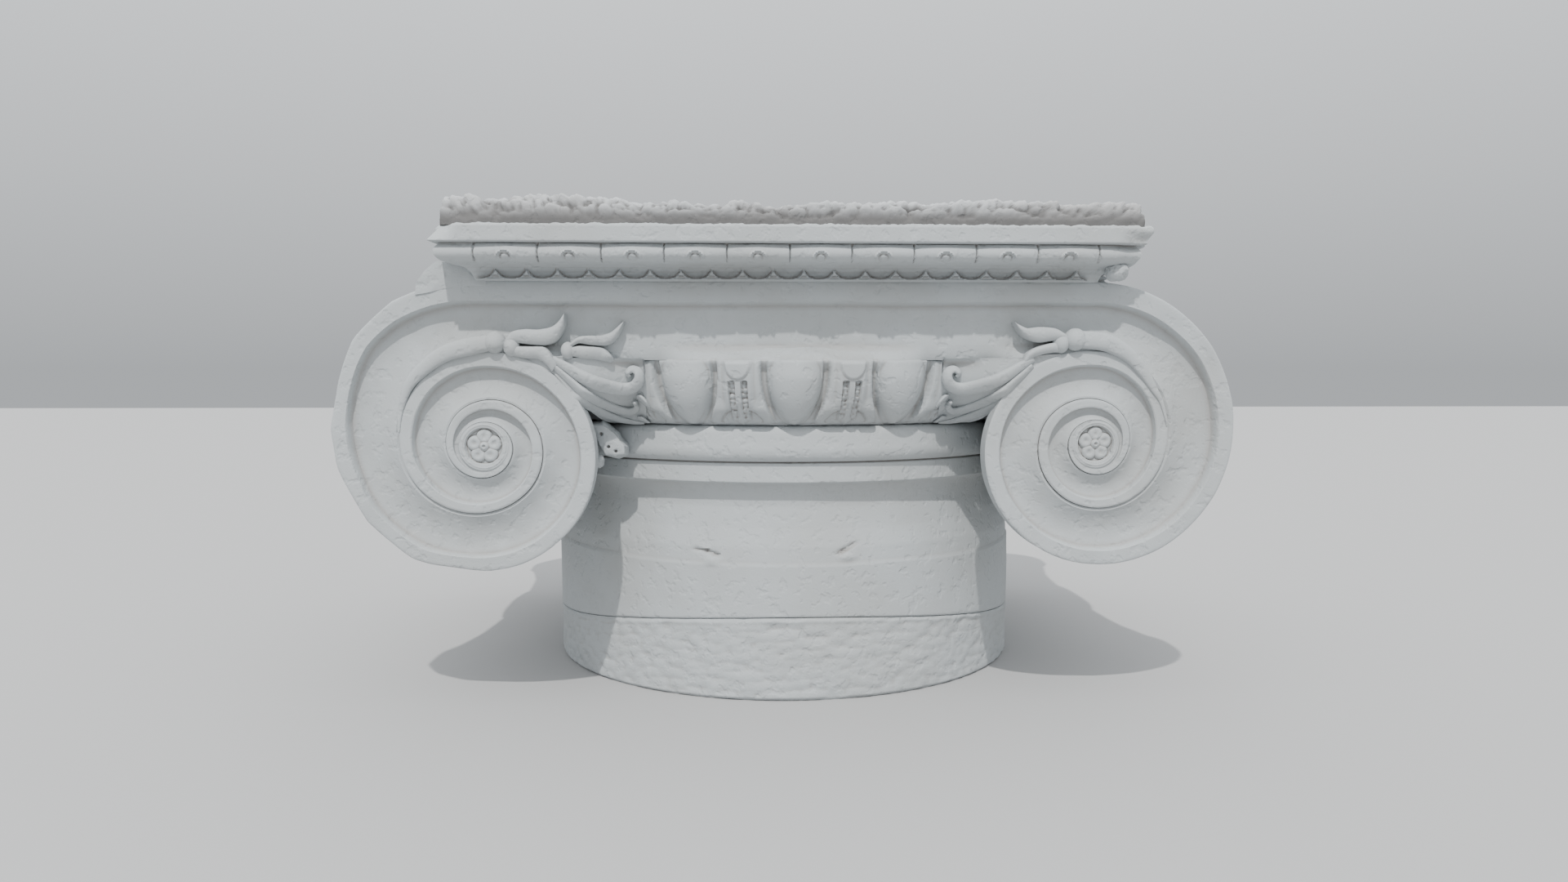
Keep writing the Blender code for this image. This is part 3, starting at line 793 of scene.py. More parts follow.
    def weather(self, points: Array) -> Array:
        """Add the slight unevenness of hand carving and the battered rim.

        Args:
            points: Positions in metres, one row each.

        Returns:
            The moved points.
        """
        grown = points.copy()
        grown[:, 1] += self.wear * rough_noise(points, self.wear_lump, 5)
        grown[:, 0] += 0.5 * self.wear * rough_noise(points, 1.5 * self.wear_lump, 6)
        grown[:, 2] += 0.5 * self.wear * rough_noise(points, 1.5 * self.wear_lump, 7)
        for vol in self.volutes:
            if vol.battered <= 0.0:
                continue
            dx = points[:, 0] - vol.eye[0]
            dz = points[:, 2] - vol.eye[1]
            reach = np.hypot(dx, dz)
            angle = np.arctan2(dz, dx * vol.side.value)
            turn = (0.25 - angle / (2 * math.pi)) % 1.0
            outer = vol.radius(turn)
            near = smooth_step(self.chip_reach, 0.0, outer - reach) * smooth_step(0.02, 0.10, turn)
            near = near * smooth_step(0.55, 0.45, turn)
            drawn_out = np.stack([points[:, 0], 0.3 * points[:, 1], points[:, 2]], axis=1)
            chip = knob_noise(drawn_out, self.chip_lump, 3)
            bite = vol.battered * near * (chip - 0.35)
            grown[:, 0] -= bite * dx / np.maximum(reach, 0.01)
            grown[:, 2] -= bite * dz / np.maximum(reach, 0.01)
        return grown

    def half(self, vol: Volute) -> list[bpy.types.Object]:
        """Make the sheets of the half that carries one scroll: front, flank, underside and back.

        Args:
            vol: The scroll.

        Returns:
            The open sheets.
        """
        one = self.steps_per_turn
        canal = one * 2 // 3

        def turn_at(u: Array, turns: int) -> Array:
            """Return the turn at a share along a strip that runs so many turns."""
            step = np.rint(u * (canal + turns * one))
            return np.where(step < canal, step / canal - 1.0, (step - canal) / one)

        def front(u: Array, v: Array) -> Array:
            """Lay the carved front."""
            return self.across(vol, turn_at(u, 3), v)

        def wall(line: tuple[Array, Array], start: Array, v: Array) -> Array:
            """Lay a wall along a line, from its start behind the face to the back."""
            y = start + v * (self.plate_depth - start) - FACE_DISTANCE
            return np.stack([line[0], y, line[1]], axis=1)

        def flank(u: Array, v: Array) -> Array:
            """Lay the outer flank."""
            line = vol.outer(turn_at(u, 1))
            return wall(line, np.full(len(v), self.rim_depth), v)

        def underside(u: Array, v: Array) -> Array:
            """Lay the underside of the channel."""
            line = vol.inner(np.rint(u * canal) / canal - 1.0)
            return wall(line, self.rim_depth + self.recess(line[0]), v)

        def straight_back(u: Array, v: Array) -> Array:
            """Lay the flat back of the channel.

            Args:
                u: Shares along the sheet's first direction.
                v: Shares along its second direction.

            Returns:
                The position of each point.
            """
            turn = np.rint(u * canal) / canal - 1.0
            x0, z0 = vol.outer(turn)
            x1, z1 = vol.inner(turn)
            level = np.full(len(turn), self.plate_depth - FACE_DISTANCE)
            return np.stack([x0 + v * (x1 - x0), level, z0 + v * (z1 - z0)], axis=1)

        def scroll_back(u: Array, v: Array) -> Array:
            """Lay the flat back of the scroll, drawn in to the eye.

            Args:
                u: Shares along the sheet's first direction.
                v: Shares along its second direction.

            Returns:
                The position of each point.
            """
            turn = np.rint(u * one) / one
            row = np.rint(v * self.back_rows).astype(int)
            deep = vol.radius(turn + 2.0 * (turn < 1.0)) * (1.0 - turn)
            x0, z0 = vol.outer(turn)
            x1, z1 = vol.inner(turn)
            x2, z2 = vol.at(deep, turn)
            xs = np.stack([x0, x1, x2, np.full_like(x2, vol.eye[0])], axis=1)
            zs = np.stack([z0, z1, z2, np.full_like(z2, vol.eye[1])], axis=1)
            index = np.arange(len(row))
            level = np.full(len(row), self.plate_depth - FACE_DISTANCE)
            return np.stack([xs[index, row], level, zs[index, row]], axis=1)

        return [grid_sheet("front", canal + 3 * one, self.rows, front),
                grid_sheet("flank", canal + one, self.flank_rows, flank),
                grid_sheet("underside", canal, self.flank_rows, underside),
                grid_sheet("straight_back", canal, 1, straight_back),
                grid_sheet("scroll_back", one, self.back_rows, scroll_back)]

    def build(self, name: str) -> bpy.types.Object:
        """Make the whole plate.

        Args:
            name: Name of the piece.

        Returns:
            The finished piece.
        """
        sheets = [sheet for vol in self.volutes for sheet in self.half(vol)]
        sheets += [Rosette().sheet(vol.eye, vol.side, self.steps_per_turn) for vol in self.volutes]
        whole = mend(weld(join(sheets, name)))
        points = self.weather(get_points(whole))
        points[:, 1] *= -self.facing.value
        set_points(whole, points)
        return weld(whole)


@dataclass
class Rosette:
    """The five petal flower in the eye of a scroll."""

    radius: float = 0.0235
    ring_inside: float = 0.0188
    sunk: float = 0.0046
    petal_reach: float = 0.0102
    petal_long: float = 0.0070
    petal_wide: float = 0.0076
    petal_rise: float = 0.0042
    dimple_long: float = 0.0034
    dimple_wide: float = 0.0030
    button_radius: float = 0.0052
    button_rise: float = 0.0056
    rows: int = 44

    def depth(self, x: Array, z: Array) -> Array:
        """Return how far behind the face the carving lies at a point around the eye.

        Args:
            x: Distance to the right of the eye's centre.
            z: Distance above it.

        Returns:
            The depth at each point.
        """
        reach = np.hypot(x, z)
        deep = self.sunk * smooth_step(self.ring_inside, self.ring_inside - 0.0022, reach)
        rise = np.zeros_like(reach)
        for k in range(5):
            angle = math.radians(72.0 * k)
            out = x * math.sin(angle) + z * math.cos(angle) - self.petal_reach
            side = x * math.cos(angle) - z * math.sin(angle)
            away = np.hypot(out / self.petal_long, side / self.petal_wide)
            dimple = np.exp(-((out / self.dimple_long) ** 2 + (side / self.dimple_wide) ** 2))
            lobe = np.clip(1.0 - away**2, 0.0, 1.0) ** 0.38 * (1.0 - 0.50 * dimple)
            rise = np.maximum(rise, self.petal_rise * lobe)
        button = half_circle(reach / self.button_radius)
        pit = 0.0022 * smooth_step(0.0022, 0.0008, reach)
        rise = np.maximum(rise, self.button_rise * button - pit)
        lip = 0.0006 * smooth_step(0.0016, 0.0, np.abs(reach - 0.5 * (self.radius + self.ring_inside)))
        return deep - rise - lip

    def sheet(self, eye: tuple[float, float], side: Side, steps: int) -> bpy.types.Object:
        """Make the eye's disc, to be welded into the face.

        Args:
            eye: Centre of the eye.
            side: The scroll that it belongs to.
            steps: Steps of the scroll for one turn.

        Returns:
            The open disc.
        """
        def place(u: Array, v: Array) -> Array:
            """Lay the disc round the centre.

            Args:
                u: Shares along the sheet's first direction.
                v: Shares along its second direction.

            Returns:
                The position of each point.
            """
            angle = turn_angle(u, steps)
            reach = self.radius * (1.0 - np.rint(v * self.rows) / self.rows)
            x = side.value * reach * np.sin(angle)
            z = reach * np.cos(angle)
            deep = np.where(v < 0.001, 0.0, self.depth(x, z))
            return np.stack([eye[0] + x, deep - FACE_DISTANCE, eye[1] + z], axis=1)

        return grid_sheet("eye", steps, self.rows, place)


@dataclass
class Neck:
    """The turned neck: a smooth band over the joint, a hollow, a fillet and a torus."""

    columns: int = 440
    spacing: float = 0.0020
    band_top: float = 0.1415
    waist: float = 0.2705
    fillet: float = 0.2855
    fillet_low: float = 0.2275
    fillet_top: float = 0.2475
    torus: float = 0.2945
    torus_foot: float = 0.2862
    torus_top: float = 0.2850
    wear: float = 0.0006
    wander: float = 0.0022
    step_reach: float = 0.030
    nick_depth: float = 0.0030
    nicks: tuple[Line, ...] = (
        ((-0.372, 0.1563), (-0.326, 0.1550), (-0.280, 0.1508), (-0.306, 0.1452)),
        ((0.168, 0.1535), (0.191, 0.1568), (0.236, 0.1638), (0.204, 0.1505)))

    def profile(self) -> list[tuple[float, float]]:
        """Return the profile from the joint to the eggs, closed on the axis.

        Returns:
            Its points.
        """
        low = JOINT_HEIGHT
        points = [(0.0, low), (DRUM_RADIUS - 0.0030, low)]
        points += arc((DRUM_RADIUS - 0.0030, low + 0.0030), (0.0030, 0.0030), -80.0, 0.0, 4)
        points += [(DRUM_RADIUS + 0.0002, self.band_top)]
        points += [(DRUM_RADIUS - 0.0011, self.band_top + 0.0022)]
        points += [(DRUM_RADIUS - 0.0022, 0.1600), (self.waist + 0.0028, 0.1800), (self.waist, 0.2020)]
        points += arc((self.fillet - 0.0010, 0.2040), (self.fillet - 0.0010 - self.waist, 0.0228),
                      180.0, 98.0, 12)
        points += arc((self.fillet - 0.0012, self.fillet_low + 0.0012), (0.0012, 0.0012), -90.0, 0.0, 4)
        points += arc((self.fillet - 0.0012, self.fillet_top - 0.0012), (0.0012, 0.0012), 0.0, 80.0, 4)
        points += [(self.torus_foot - 0.0030, self.fillet_top + 0.0012)]
        points += arc((self.torus - 0.0090, 0.2625), (0.0090, 0.0132), -80.0, 8.0, 14)
        points += [(self.torus - 0.0008, 0.2740)]
        points += arc((self.torus - 0.0090, 0.2760), (0.0080, 0.0090), 10.0, 80.0, 8)
        points += [(self.torus_foot - 0.0060, self.torus_top + 0.0012), (0.0, self.torus_top + 0.0012)]
        return points

    def build(self, name: str) -> bpy.types.Object:
        """Turn the neck.

        Args:
            name: Name of the piece.

        Returns:
            The finished piece.
        """
        table = stations(self.profile(), self.spacing)
        rows = len(table) - 1

        def place(u: Array, v: Array) -> Array:
            """Lay the profile round the axis, its foot along the wavy joint.

            Args:
                u: Shares along the sheet's first direction.
                v: Shares along its second direction.

            Returns:
                The position of each point.
            """
            angle = turn_angle(u, self.columns)
            radius, height = table[np.rint(v * rows).astype(int)].T
            share = np.clip((self.band_top - height) / (self.band_top - JOINT_HEIGHT), 0.0, 1.0)
            wave = np.where(radius > 0.0, joint_height(angle) - JOINT_HEIGHT, 0.0)
            return turned(radius, angle, height + share * wave)

        return reshape(weld(grid_sheet(name, self.columns, rows, place)), self.weather)

    def weather(self, points: Array) -> Array:
        """Make the step wander and its edge crumble in two places.

        Args:
            points: Positions in metres, one row each.

        Returns:
            The moved points.
        """
        reach, angle = round_axis(points)
        outside = smooth_step(0.20, 0.25, reach)
        near = smooth_step(self.step_reach, 0.0, np.abs(points[:, 2] - self.band_top)) * outside
        wander = lattice_noise(np.stack([angle * 4.0, angle * 0.0, angle * 0.0], axis=1), 1.0, 11)
        out = self.wear * rough_noise(points, 0.070, 12, 2) * outside
        for start, middle, end, lump in self.nicks:
            for (a0, z0), (a1, z1) in ((start, middle), (middle, end)):
                step = np.array([(a1 - a0) * DRUM_RADIUS, z1 - z0])
                from_start = np.stack([(angle - a0) * DRUM_RADIUS, points[:, 2] - z0], axis=1)
                share = np.clip(from_start @ step / (step @ step), 0.0, 1.0)
                away = np.hypot(*(from_start - share[:, None] * step).T)
                out -= self.nick_depth * smooth_step(0.0026, 0.0006, away) * outside
            spot = np.hypot((angle - lump[0]) * DRUM_RADIUS * 0.55, points[:, 2] - lump[1])
            out += self.nick_depth * smooth_step(0.0065, 0.0, spot) * outside
        grown = push_out(points, out)
        grown[:, 2] += near * self.wander * wander
        return grown


@dataclass
class Echinus:
    """The ring of eggs in their shells, with straps and darts between them."""

    pitch: float = math.radians(20.3)
    measure: float = 0.3200
    low: float = 0.2862
    top: float = 0.3514
    rows: int = 96
    egg_half: float = 0.0276
    egg_waist: float = 0.3400
    egg_length: float = 0.0530
    egg_drop: float = 0.0175
    gap: float = 0.0074
    slot_low: float = 0.2925
    slot_top: float = 0.3313
    slot_inside: float = 0.0032
    slot_outside: float = 0.0096
    slot_depth: float = 0.0075
    slot_round: float = 0.0030
    slot_knob: float = 0.0038
    slot_lump: float = 0.0042
    rim_sunk: float = 0.0010
    rim_groove: float = 0.0030
    rim_soft: float = 0.0016
    dart_round: float = 0.0035
    covered_depth: float = 0.0040
    slot_middle: float = 0.0064
    slot_half: float = 0.0042
    tongue_height: float = 0.3480
    tongue_rise: float = 0.0020
    tongue_half: float = 0.0130
    tongue_length: float = 0.0160
    upper_length: float = 0.060
    shelf_crumb: float = 0.0036
    shelf_lump: float = 0.0090
    closing_height: float = 0.3660
    closing_radius: float = 0.2500
    ground_depths: Line = ((0.2862, 0.0050), (0.2930, 0.0100), (0.3050, 0.0160), (0.3400, 0.0160),
                           (0.3514, 0.0090))
    rim_widths: Line = ((0.2862, 0.0045), (0.2900, 0.0062), (0.2990, 0.0120), (0.3100, 0.0300))
    dart_halves: Line = ((0.2862, 0.0006), (0.2915, 0.0064), (0.2950, 0.0036), (0.3100, 0.0032),
                         (0.3313, 0.0036))
    shelf: Line = ((0.3172, 0.3521), (0.3110, 0.3536), (0.3065, 0.3558), (0.3020, 0.3584),
                   (0.2975, 0.3608), (0.2930, 0.3634), (0.2880, 0.3650), (0.2800, 0.3655))
    lip: float = 0.3240
    curve_reach: float = 0.0420
    curve_height: float = 0.0660
    edge_height: float = 0.0036
    edge_reach: float = 0.0018
    egg_proud: float = 0.0022
    cover_start: float = math.radians(30.0)
    cover_end: float = math.radians(80.0)

    def angles(self) -> Array:
        """Return the columns' angles, close together on the two carved faces.

        Returns:
            The angles in radians.
        """
        front = np.arange(-46.0, 46.0, 0.19)
        side = np.arange(46.0, 134.0, 2.2)
        back = np.arange(134.0, 226.0, 0.50)
        other = np.arange(226.0, 314.0, 2.2)
        return np.radians(np.concatenate([front, side, back, other, [314.0]]))

    def round_at(self, height: Array) -> Array:
        """Return the plain radius of the echinus, a part of an ellipse, at a height.

        Args:
            height: Height of each point.

        Returns:
            The radius at each height.
        """
        sine = np.clip((self.top - height) / self.curve_height, 0.0, 0.99)
        plain = self.lip - self.curve_reach * (1.0 - np.sqrt(1.0 - sine**2))
        edge = np.clip((height - self.top + self.edge_height) / self.edge_height, 0.0, 1.0)
        return plain - self.edge_reach * (1.0 - np.sqrt(1.0 - edge**2))

    def egg_width(self, height: Array) -> Array:
        """Return the half width of an egg at a height.

        Args:
            height: Height of each point.

        Returns:
            The half width at each height.
        """
        length = np.where(height < self.egg_waist, self.egg_length, self.upper_length)
        away = (self.egg_waist - height) / length
        return self.egg_half * half_circle(away)

    def surface(self, angle: Array, height: Array) -> Array:
        """Return the carved radius at an angle and a height.

        Args:
            angle: Angle from the front.
            height: Height between the torus and the shelf.

        Returns:
            The radius at each point.
        """
        side = np.abs(local_wrap(angle, self.pitch)) * self.measure
        half = self.egg_width(height)
        slope = (self.egg_width(height + 0.0005) - self.egg_width(height - 0.0005)) / 0.001
        away = (side - half) / np.sqrt(1.0 + np.clip(slope, -2.5, 2.5) ** 2)
        base = self.round_at(height)
        inside = away - self.gap
        across = np.clip(2.0 * away / self.gap - 1.0, -1.0, 1.0)
        ground = base - read_table(self.ground_depths, height) * (1.0 - 0.35 * across**4)
        share = np.clip(side / np.maximum(half, 1e-5), 0.0, 1.0)
        bulge = base + self.egg_proud * smooth_step(self.top, self.top - 0.02, height)
        egg = bulge - self.egg_drop * (1.0 - half_circle(share))
        egg = np.where(side < half, egg, ground)
        middle = self.pitch / 2.0 * self.measure - side
        rim_width = read_table(self.rim_widths, height)
        rim = base - self.rim_sunk - 0.0034 * np.exp(-np.clip(inside, 0.0, 1.0) / self.rim_soft)
        rim -= self.rim_groove * np.exp(-np.clip(rim_width - inside, 0.0, 1.0) / self.rim_soft)
        rim -= self.rim_groove * smooth_step(0.0110, 0.0170, middle) * smooth_step(0.3000, 0.3150, height)
        in_rim = (inside > 0.0) & (inside < rim_width)
        shell = np.where(in_rim, rim, ground)
        round_top = self.slot_round * half_circle((middle - self.slot_middle) / self.slot_half)
        slot = (middle > self.slot_inside) & (middle < self.slot_outside)
        slot &= (height > self.slot_low) & (height < self.slot_top - self.slot_round + round_top)
        shell = np.where(slot, base - self.slot_depth, shell)
        dart_half = read_table(self.dart_halves, height)
        dart = base - self.rim_sunk - self.dart_round * np.clip(middle / dart_half, 0.0, 1.0) ** 2
        dart = np.where((middle < dart_half) & (height < self.slot_top), dart, ground)
        lobe = np.hypot(middle / self.tongue_half, (height - self.tongue_height) / self.tongue_length)
        tongue = self.tongue_rise * smooth_step(1.0, 0.88, lobe)
        tongue = tongue * smooth_step(self.top, self.top - 0.004, height)
        carved = np.maximum(np.maximum(egg, shell + tongue), np.maximum(dart, ground))
        corner = np.abs(local_wrap(angle, 2.0 * math.pi))
        covered = (corner > self.cover_start) & (corner < self.cover_end)
        return np.where(covered, base - self.covered_depth, carved)

    def in_slot(self, angle: Array, height: Array) -> Array:
        """Return 1 in the deep slots beside a dart, where the stone is crumbly.

        Args:
            angle: Angle from the front.
            height: Height of each point.

        Returns:
            The share at each point.
        """
        middle = self.pitch / 2.0 * self.measure - np.abs(local_wrap(angle, self.pitch)) * self.measure
        beside = smooth_step(0.0105, 0.0092, middle) * smooth_step(0.0024, 0.0036, middle)
        return beside * smooth_step(0.2905, 0.2930, height) * smooth_step(0.3325, 0.3305, height)

    def build(self, name: str) -> bpy.types.Object:
        """Make the ring.

        Args:
            name: Name of the piece.

        Returns:
            The finished piece.
        """
        angles = self.angles()
        columns = len(angles) - 1
        rows = self.rows + len(self.shelf) + 3
        straight = self.rows - 14
        edge = self.edge_height * np.sin(np.linspace(0.0, math.pi / 2.0, self.rows - straight + 1))
        heights = np.concatenate([np.linspace(self.low, self.top - self.edge_height, straight),
                                  self.top - self.edge_height + edge[1:]])

        def place(u: Array, v: Array) -> Array:
            """Lay the carving, the shelf above it and the closed ends.

            Args:
                u: Shares along the sheet's first direction.
                v: Shares along its second direction.

            Returns:
                The position of each point.
            """
            angle = angles[np.rint(u * columns).astype(int)]
            row = np.rint(v * rows).astype(int)
            height = heights[np.clip(row - 1, 0, self.rows - 1)]
            radius = self.surface(angle, height)
            radius = np.where(row == 0, 0.0, radius)
            for k, (reach, level) in enumerate(self.shelf):
                here = row == self.rows + 1 + k
                radius = np.where(here, np.minimum(radius - 0.0009 * (k + 1), reach), radius)
                height = np.where(here, level, height)
            closed = row >= self.rows + len(self.shelf) + 1
            last = row == rows
            radius = np.where(closed, np.where(last, 0.0, self.closing_radius), radius)
            height = np.where(closed, self.closing_height, height)
            return turned(radius, angle, height)

        return reshape(weld(grid_sheet(name, columns, rows, place)), self.weather)

    def weather(self, points: Array) -> Array:
        """Roughen the slots and crumble the shelf.

        Args:
            points: Positions in metres, one row each.

        Returns:
            The moved points.
        """
        grown = points.copy()
        height = points[:, 2]
        reach, angle = round_axis(points)
        deep = self.in_slot(angle, height) * smooth_step(0.0035, 0.0060, self.round_at(height) - reach)
        knob = knob_noise(points, self.slot_lump, 21)
        soft = 0.0004 * rough_noise(points, 0.040, 22, 2)
        grow = (self.slot_knob * deep * knob + soft) * smooth_step(0.26, 0.275, reach)
        grown[:, 0] += grow * np.sin(angle)
        grown[:, 1] -= grow * np.cos(angle)
        shelf = smooth_step(0.3160, 0.3090, reach) * smooth_step(0.3500, 0.3520, height)
        shelf = shelf * smooth_step(0.275, 0.288, reach)
        crumbs = smooth_step(0.15, 0.75, knob_noise(points, self.shelf_lump, 23))
        crumbs = crumbs * smooth_step(-0.3, 0.6, lattice_noise(points, 0.030, 24))
        grown[:, 2] += shelf * (self.shelf_crumb * crumbs + 0.0006 * rough_noise(points, 0.010, 25))
        return grown


@dataclass
class Body:
    """The block behind the faces: a core under the abacus and a bolster at each end."""

    half_depth: float = 0.2855
    low: float = 0.3535
    top: float = 0.4284
    columns: int = 130
    core_size: float = 0.6120
    core_shift: float = -0.0015
    core_wear: float = 0.0010
    wear: float = 0.0011
    sunk: float = 0.0004
    eye_turn: float = 0.96
    shares: Line = (
        (0.2855, 0.968), (0.2780, 0.962), (0.2400, 0.890), (0.1900, 0.815), (0.1300, 0.768),
        (0.0700, 0.750), (0.0620, 0.752), (0.0600, 0.790), (0.0560, 0.802), (0.0500, 0.800),
        (0.0480, 0.778), (0.0440, 0.778), (0.0420, 0.815), (0.0200, 0.822), (0.0, 0.823))

    def share_at(self, y: Array) -> Array:
        """Return the bolster's share of the face outline at a distance from the middle."""
        table = np.array(self.shares)[::-1]
        return np.interp(np.abs(y), table[:, 0], table[:, 1])

    def bolster(self, name: str, vol: Volute) -> bpy.types.Object:
        """Loft one bolster from face to face.

        Args:
            name: Name of the piece.
            vol: The scroll whose outline it follows.

        Returns:
            The closed bolster.
        """
        lines = np.array([y for y, _ in self.shares])
        fine = np.concatenate([np.linspace(a, b, 5, endpoint=False) for a, b in zip(lines, lines[1:])])
        half = np.concatenate([fine, [0.0]])
        ys = np.concatenate([-half, half[::-1][1:]])
        ys = np.concatenate([[ys[0]], ys, [ys[-1]]])
        rows = len(ys) - 1

        def place(u: Array, v: Array) -> Array:
            """Lay the outline at each distance, with the ends drawn in to the eye.

            Args:
                u: Shares along the sheet's first direction.
                v: Shares along its second direction.

            Returns:
                The position of each point.
            """
            turn = np.rint(u * self.columns) / self.columns
            x, z = vol.outer(np.clip(turn / self.eye_turn, 0.0, 1.0))
            top = (turn - self.eye_turn) / 0.04
            x = np.where(turn > self.eye_turn, vol.eye[0], x)
            start = vol.eye[1] + float(vol.radius(np.array([1.0]))[0])
            z = np.where(turn > self.eye_turn, start + (CANAL_TOP - start) * np.clip(top, 0.0, 1.0), z)
            row = np.rint(v * rows).astype(int)
            y = ys[row]
            share = np.where((row == 0) | (row == rows), 0.0, self.share_at(y))
            px = vol.eye[0] + (x - vol.eye[0]) * share
            pz = vol.eye[1] + (z - vol.eye[1]) * share - self.sunk
            return np.stack([px, y, pz], axis=1)

        ob = weld(grid_sheet(name, self.columns, rows, place))
        points = get_points(ob)
        reach = np.hypot(points[:, 0] - vol.eye[0], points[:, 2] - vol.eye[1])
        wear = 1.0 + self.wear * rough_noise(points, 0.050, 31) / np.maximum(reach, 0.03)
        points[:, 0] = vol.eye[0] + (points[:, 0] - vol.eye[0]) * wear
        points[:, 2] = vol.eye[1] + (points[:, 2] - vol.eye[1]) * wear
        set_points(ob, points)
        return ob

    def core(self, name: str) -> bpy.types.Object:
        """Make the dressed block between the bolsters.

        Args:
            name: Name of the piece.

        Returns:
            The closed block.
        """
        clear_selection()
        middle = (self.low + self.top) / 2.0
        bpy.ops.mesh.primitive_cube_add(size=1.0, location=(self.core_shift, 0.0, middle))
        ob = give_name(bpy.context.active_object, name)
        bpy.ops.object.mode_set(mode="EDIT")
        size = (self.core_size, 2.0 * self.half_depth, self.top - self.low)
        bpy.ops.transform.resize(value=size)
        bpy.ops.mesh.bevel(offset=0.0040, segments=2)
        bpy.ops.mesh.subdivide(number_cuts=4)
        bpy.ops.mesh.subdivide(number_cuts=2)
        bpy.ops.object.mode_set(mode="OBJECT")
        bpy.ops.object.transform_apply(location=True, rotation=True, scale=True)
        set_points(ob, shake(get_points(ob), self.core_wear, 0.045, 32))
        return weld(ob)


@dataclass
class Abacus:
    """The square top moulding: a fascia over rounded leaves, and round-lobed spandrels below them."""

    half: float = 0.3452
    leaves: int = 10
    pitch: float = 0.0594
    shift: float = -0.0065
    front_columns: int = 620
    side_columns: int = 170
    spacing: float = 0.0012
    leaf_top: float = 0.4612
    leaf_low: float = 0.4438
    knob_height: float = 0.4482
    knob_radius: float = 0.0056
    corner_top: float = 0.0125
    corner_span: float = 0.0320
    chip: float = 0.0078
    chip_span: float = 0.0420
    chip_heights: tuple[float, float] = (0.4755, 0.4635)
    chipped_top: float = 0.35
    leaf_swell: float = 0.0020
    leaf_groove: float = 0.0026
    hook_rise: float = 0.0032
    knob_rise: float = 0.0034
    knob_ground: float = 0.0018
    lens_height: float = 0.4312
    lens_depth: float = 0.0030
    lobe_low: float = 0.4298
    lobe_rise: float = 0.0112
    spandrel_foot: float = 0.3200
    spandrel_lean: float = 0.2500

    def profile(self) -> list[tuple[float, float]]:
        """Return the profile as half side and height, closed on the axis.

        Returns:
            Its points.
        """
        half = self.half
        points = [(0.0, 0.4283), (0.3050, 0.4283), (0.3085, 0.4283), (0.3095, 0.4292)]
        points += [(0.3105, 0.4325), (0.3130, 0.4365), (0.3175, 0.4402), (0.3240, 0.4424)]
        points += [(0.3270, 0.4428)]
        points += arc((0.3270, 0.4530), (half - 0.0042 - 0.3270, 0.0100), -80.0, 40.0, 14)
        points += [(half - 0.0080, 0.4607), (half - 0.0085, 0.4616), (half - 0.0020, 0.4618)]
        points += arc((half - 0.0016, 0.4636), (0.0016, 0.0016), -80.0, 0.0, 4)
        points += [(half, 0.4770), (half - 0.0012, 0.4790), (half - 0.0060, 0.4794), (0.0, 0.4794)]
        return points

    def relief(self, along: Array, height: Array, half: Array) -> Array:
        """Return how far the carving stands out from the plain moulding.

        Args:
            along: Distance along the side from its middle.
            height: Height of the point.
            half: Plain half side at that height.

        Returns:
            The extra reach at each point.
        """
        along = along - self.shift
        local = (along + self.pitch * (self.leaves / 2.0)) % self.pitch - self.pitch / 2.0
        span = self.pitch * self.leaves / 2.0
        inside = smooth_step(span + 0.004, span + 0.001, np.abs(along))
        ovolo = smooth_step(self.leaf_low - 0.0015, self.leaf_low + 0.0015, height)
        ovolo = ovolo * smooth_step(self.leaf_top + 0.0002, self.leaf_top - 0.0006, height)
        from_joint = self.pitch / 2.0 - np.abs(local)
        groove = smooth_step(0.0010, 0.0, from_joint)
        swell = np.sqrt(np.clip(from_joint / (self.pitch / 2.0), 0.0, 1.0))
        out = ovolo * inside * (self.leaf_swell * swell - self.leaf_groove * groove)
        spot = np.hypot(local / 1.25, height - self.knob_height)
        hook = smooth_step(0.0018, 0.0, np.abs(spot - self.knob_radius)) * (height > self.knob_height - 0.001)
        knob = half_circle(spot / (0.58 * self.knob_radius))
        ground = self.knob_ground * smooth_step(0.0058, 0.0020, spot)
        out += inside * (self.hook_rise * hook + self.knob_rise * knob - ground)
        away = np.abs(local_wrap(local, self.pitch / 2.0)) / (self.pitch / 4.0)
        round_low = self.lobe_low + self.lobe_rise * (1.0 - half_circle(away))
        flat = self.spandrel_foot - self.spandrel_lean * (height - 0.4292)
        stand = np.clip(flat - half, 0.0, 0.012) * smooth_step(0.4283, 0.4286, height)
        hollow = smooth_step(0.4424, 0.4405, height)
        spandrel = smooth_step(0.0006, -0.0006, height - round_low)
        out += inside * hollow * stand * spandrel
        lens = np.hypot((np.abs(local) - self.pitch / 4.0) / 0.0085, (height - self.lens_height) / 0.0019)
        out -= inside * hollow * self.lens_depth * smooth_step(1.1, 0.7, lens)
        return out

    def build(self, name: str) -> bpy.types.Object:
        """Make the moulding round the four sides.

        Args:
            name: Name of the piece.

        Returns:
            The finished piece.
        """
        table = stations(self.profile(), self.spacing)
        rows = len(table) - 1
        counts = (self.front_columns, self.side_columns, self.side_columns, self.side_columns)
        sides = np.concatenate([np.full(n, k) for k, n in enumerate(counts)] + [[0]])
        shares = np.concatenate([np.arange(n) / n for n in counts] + [[0.0]])
        columns = sum(counts)

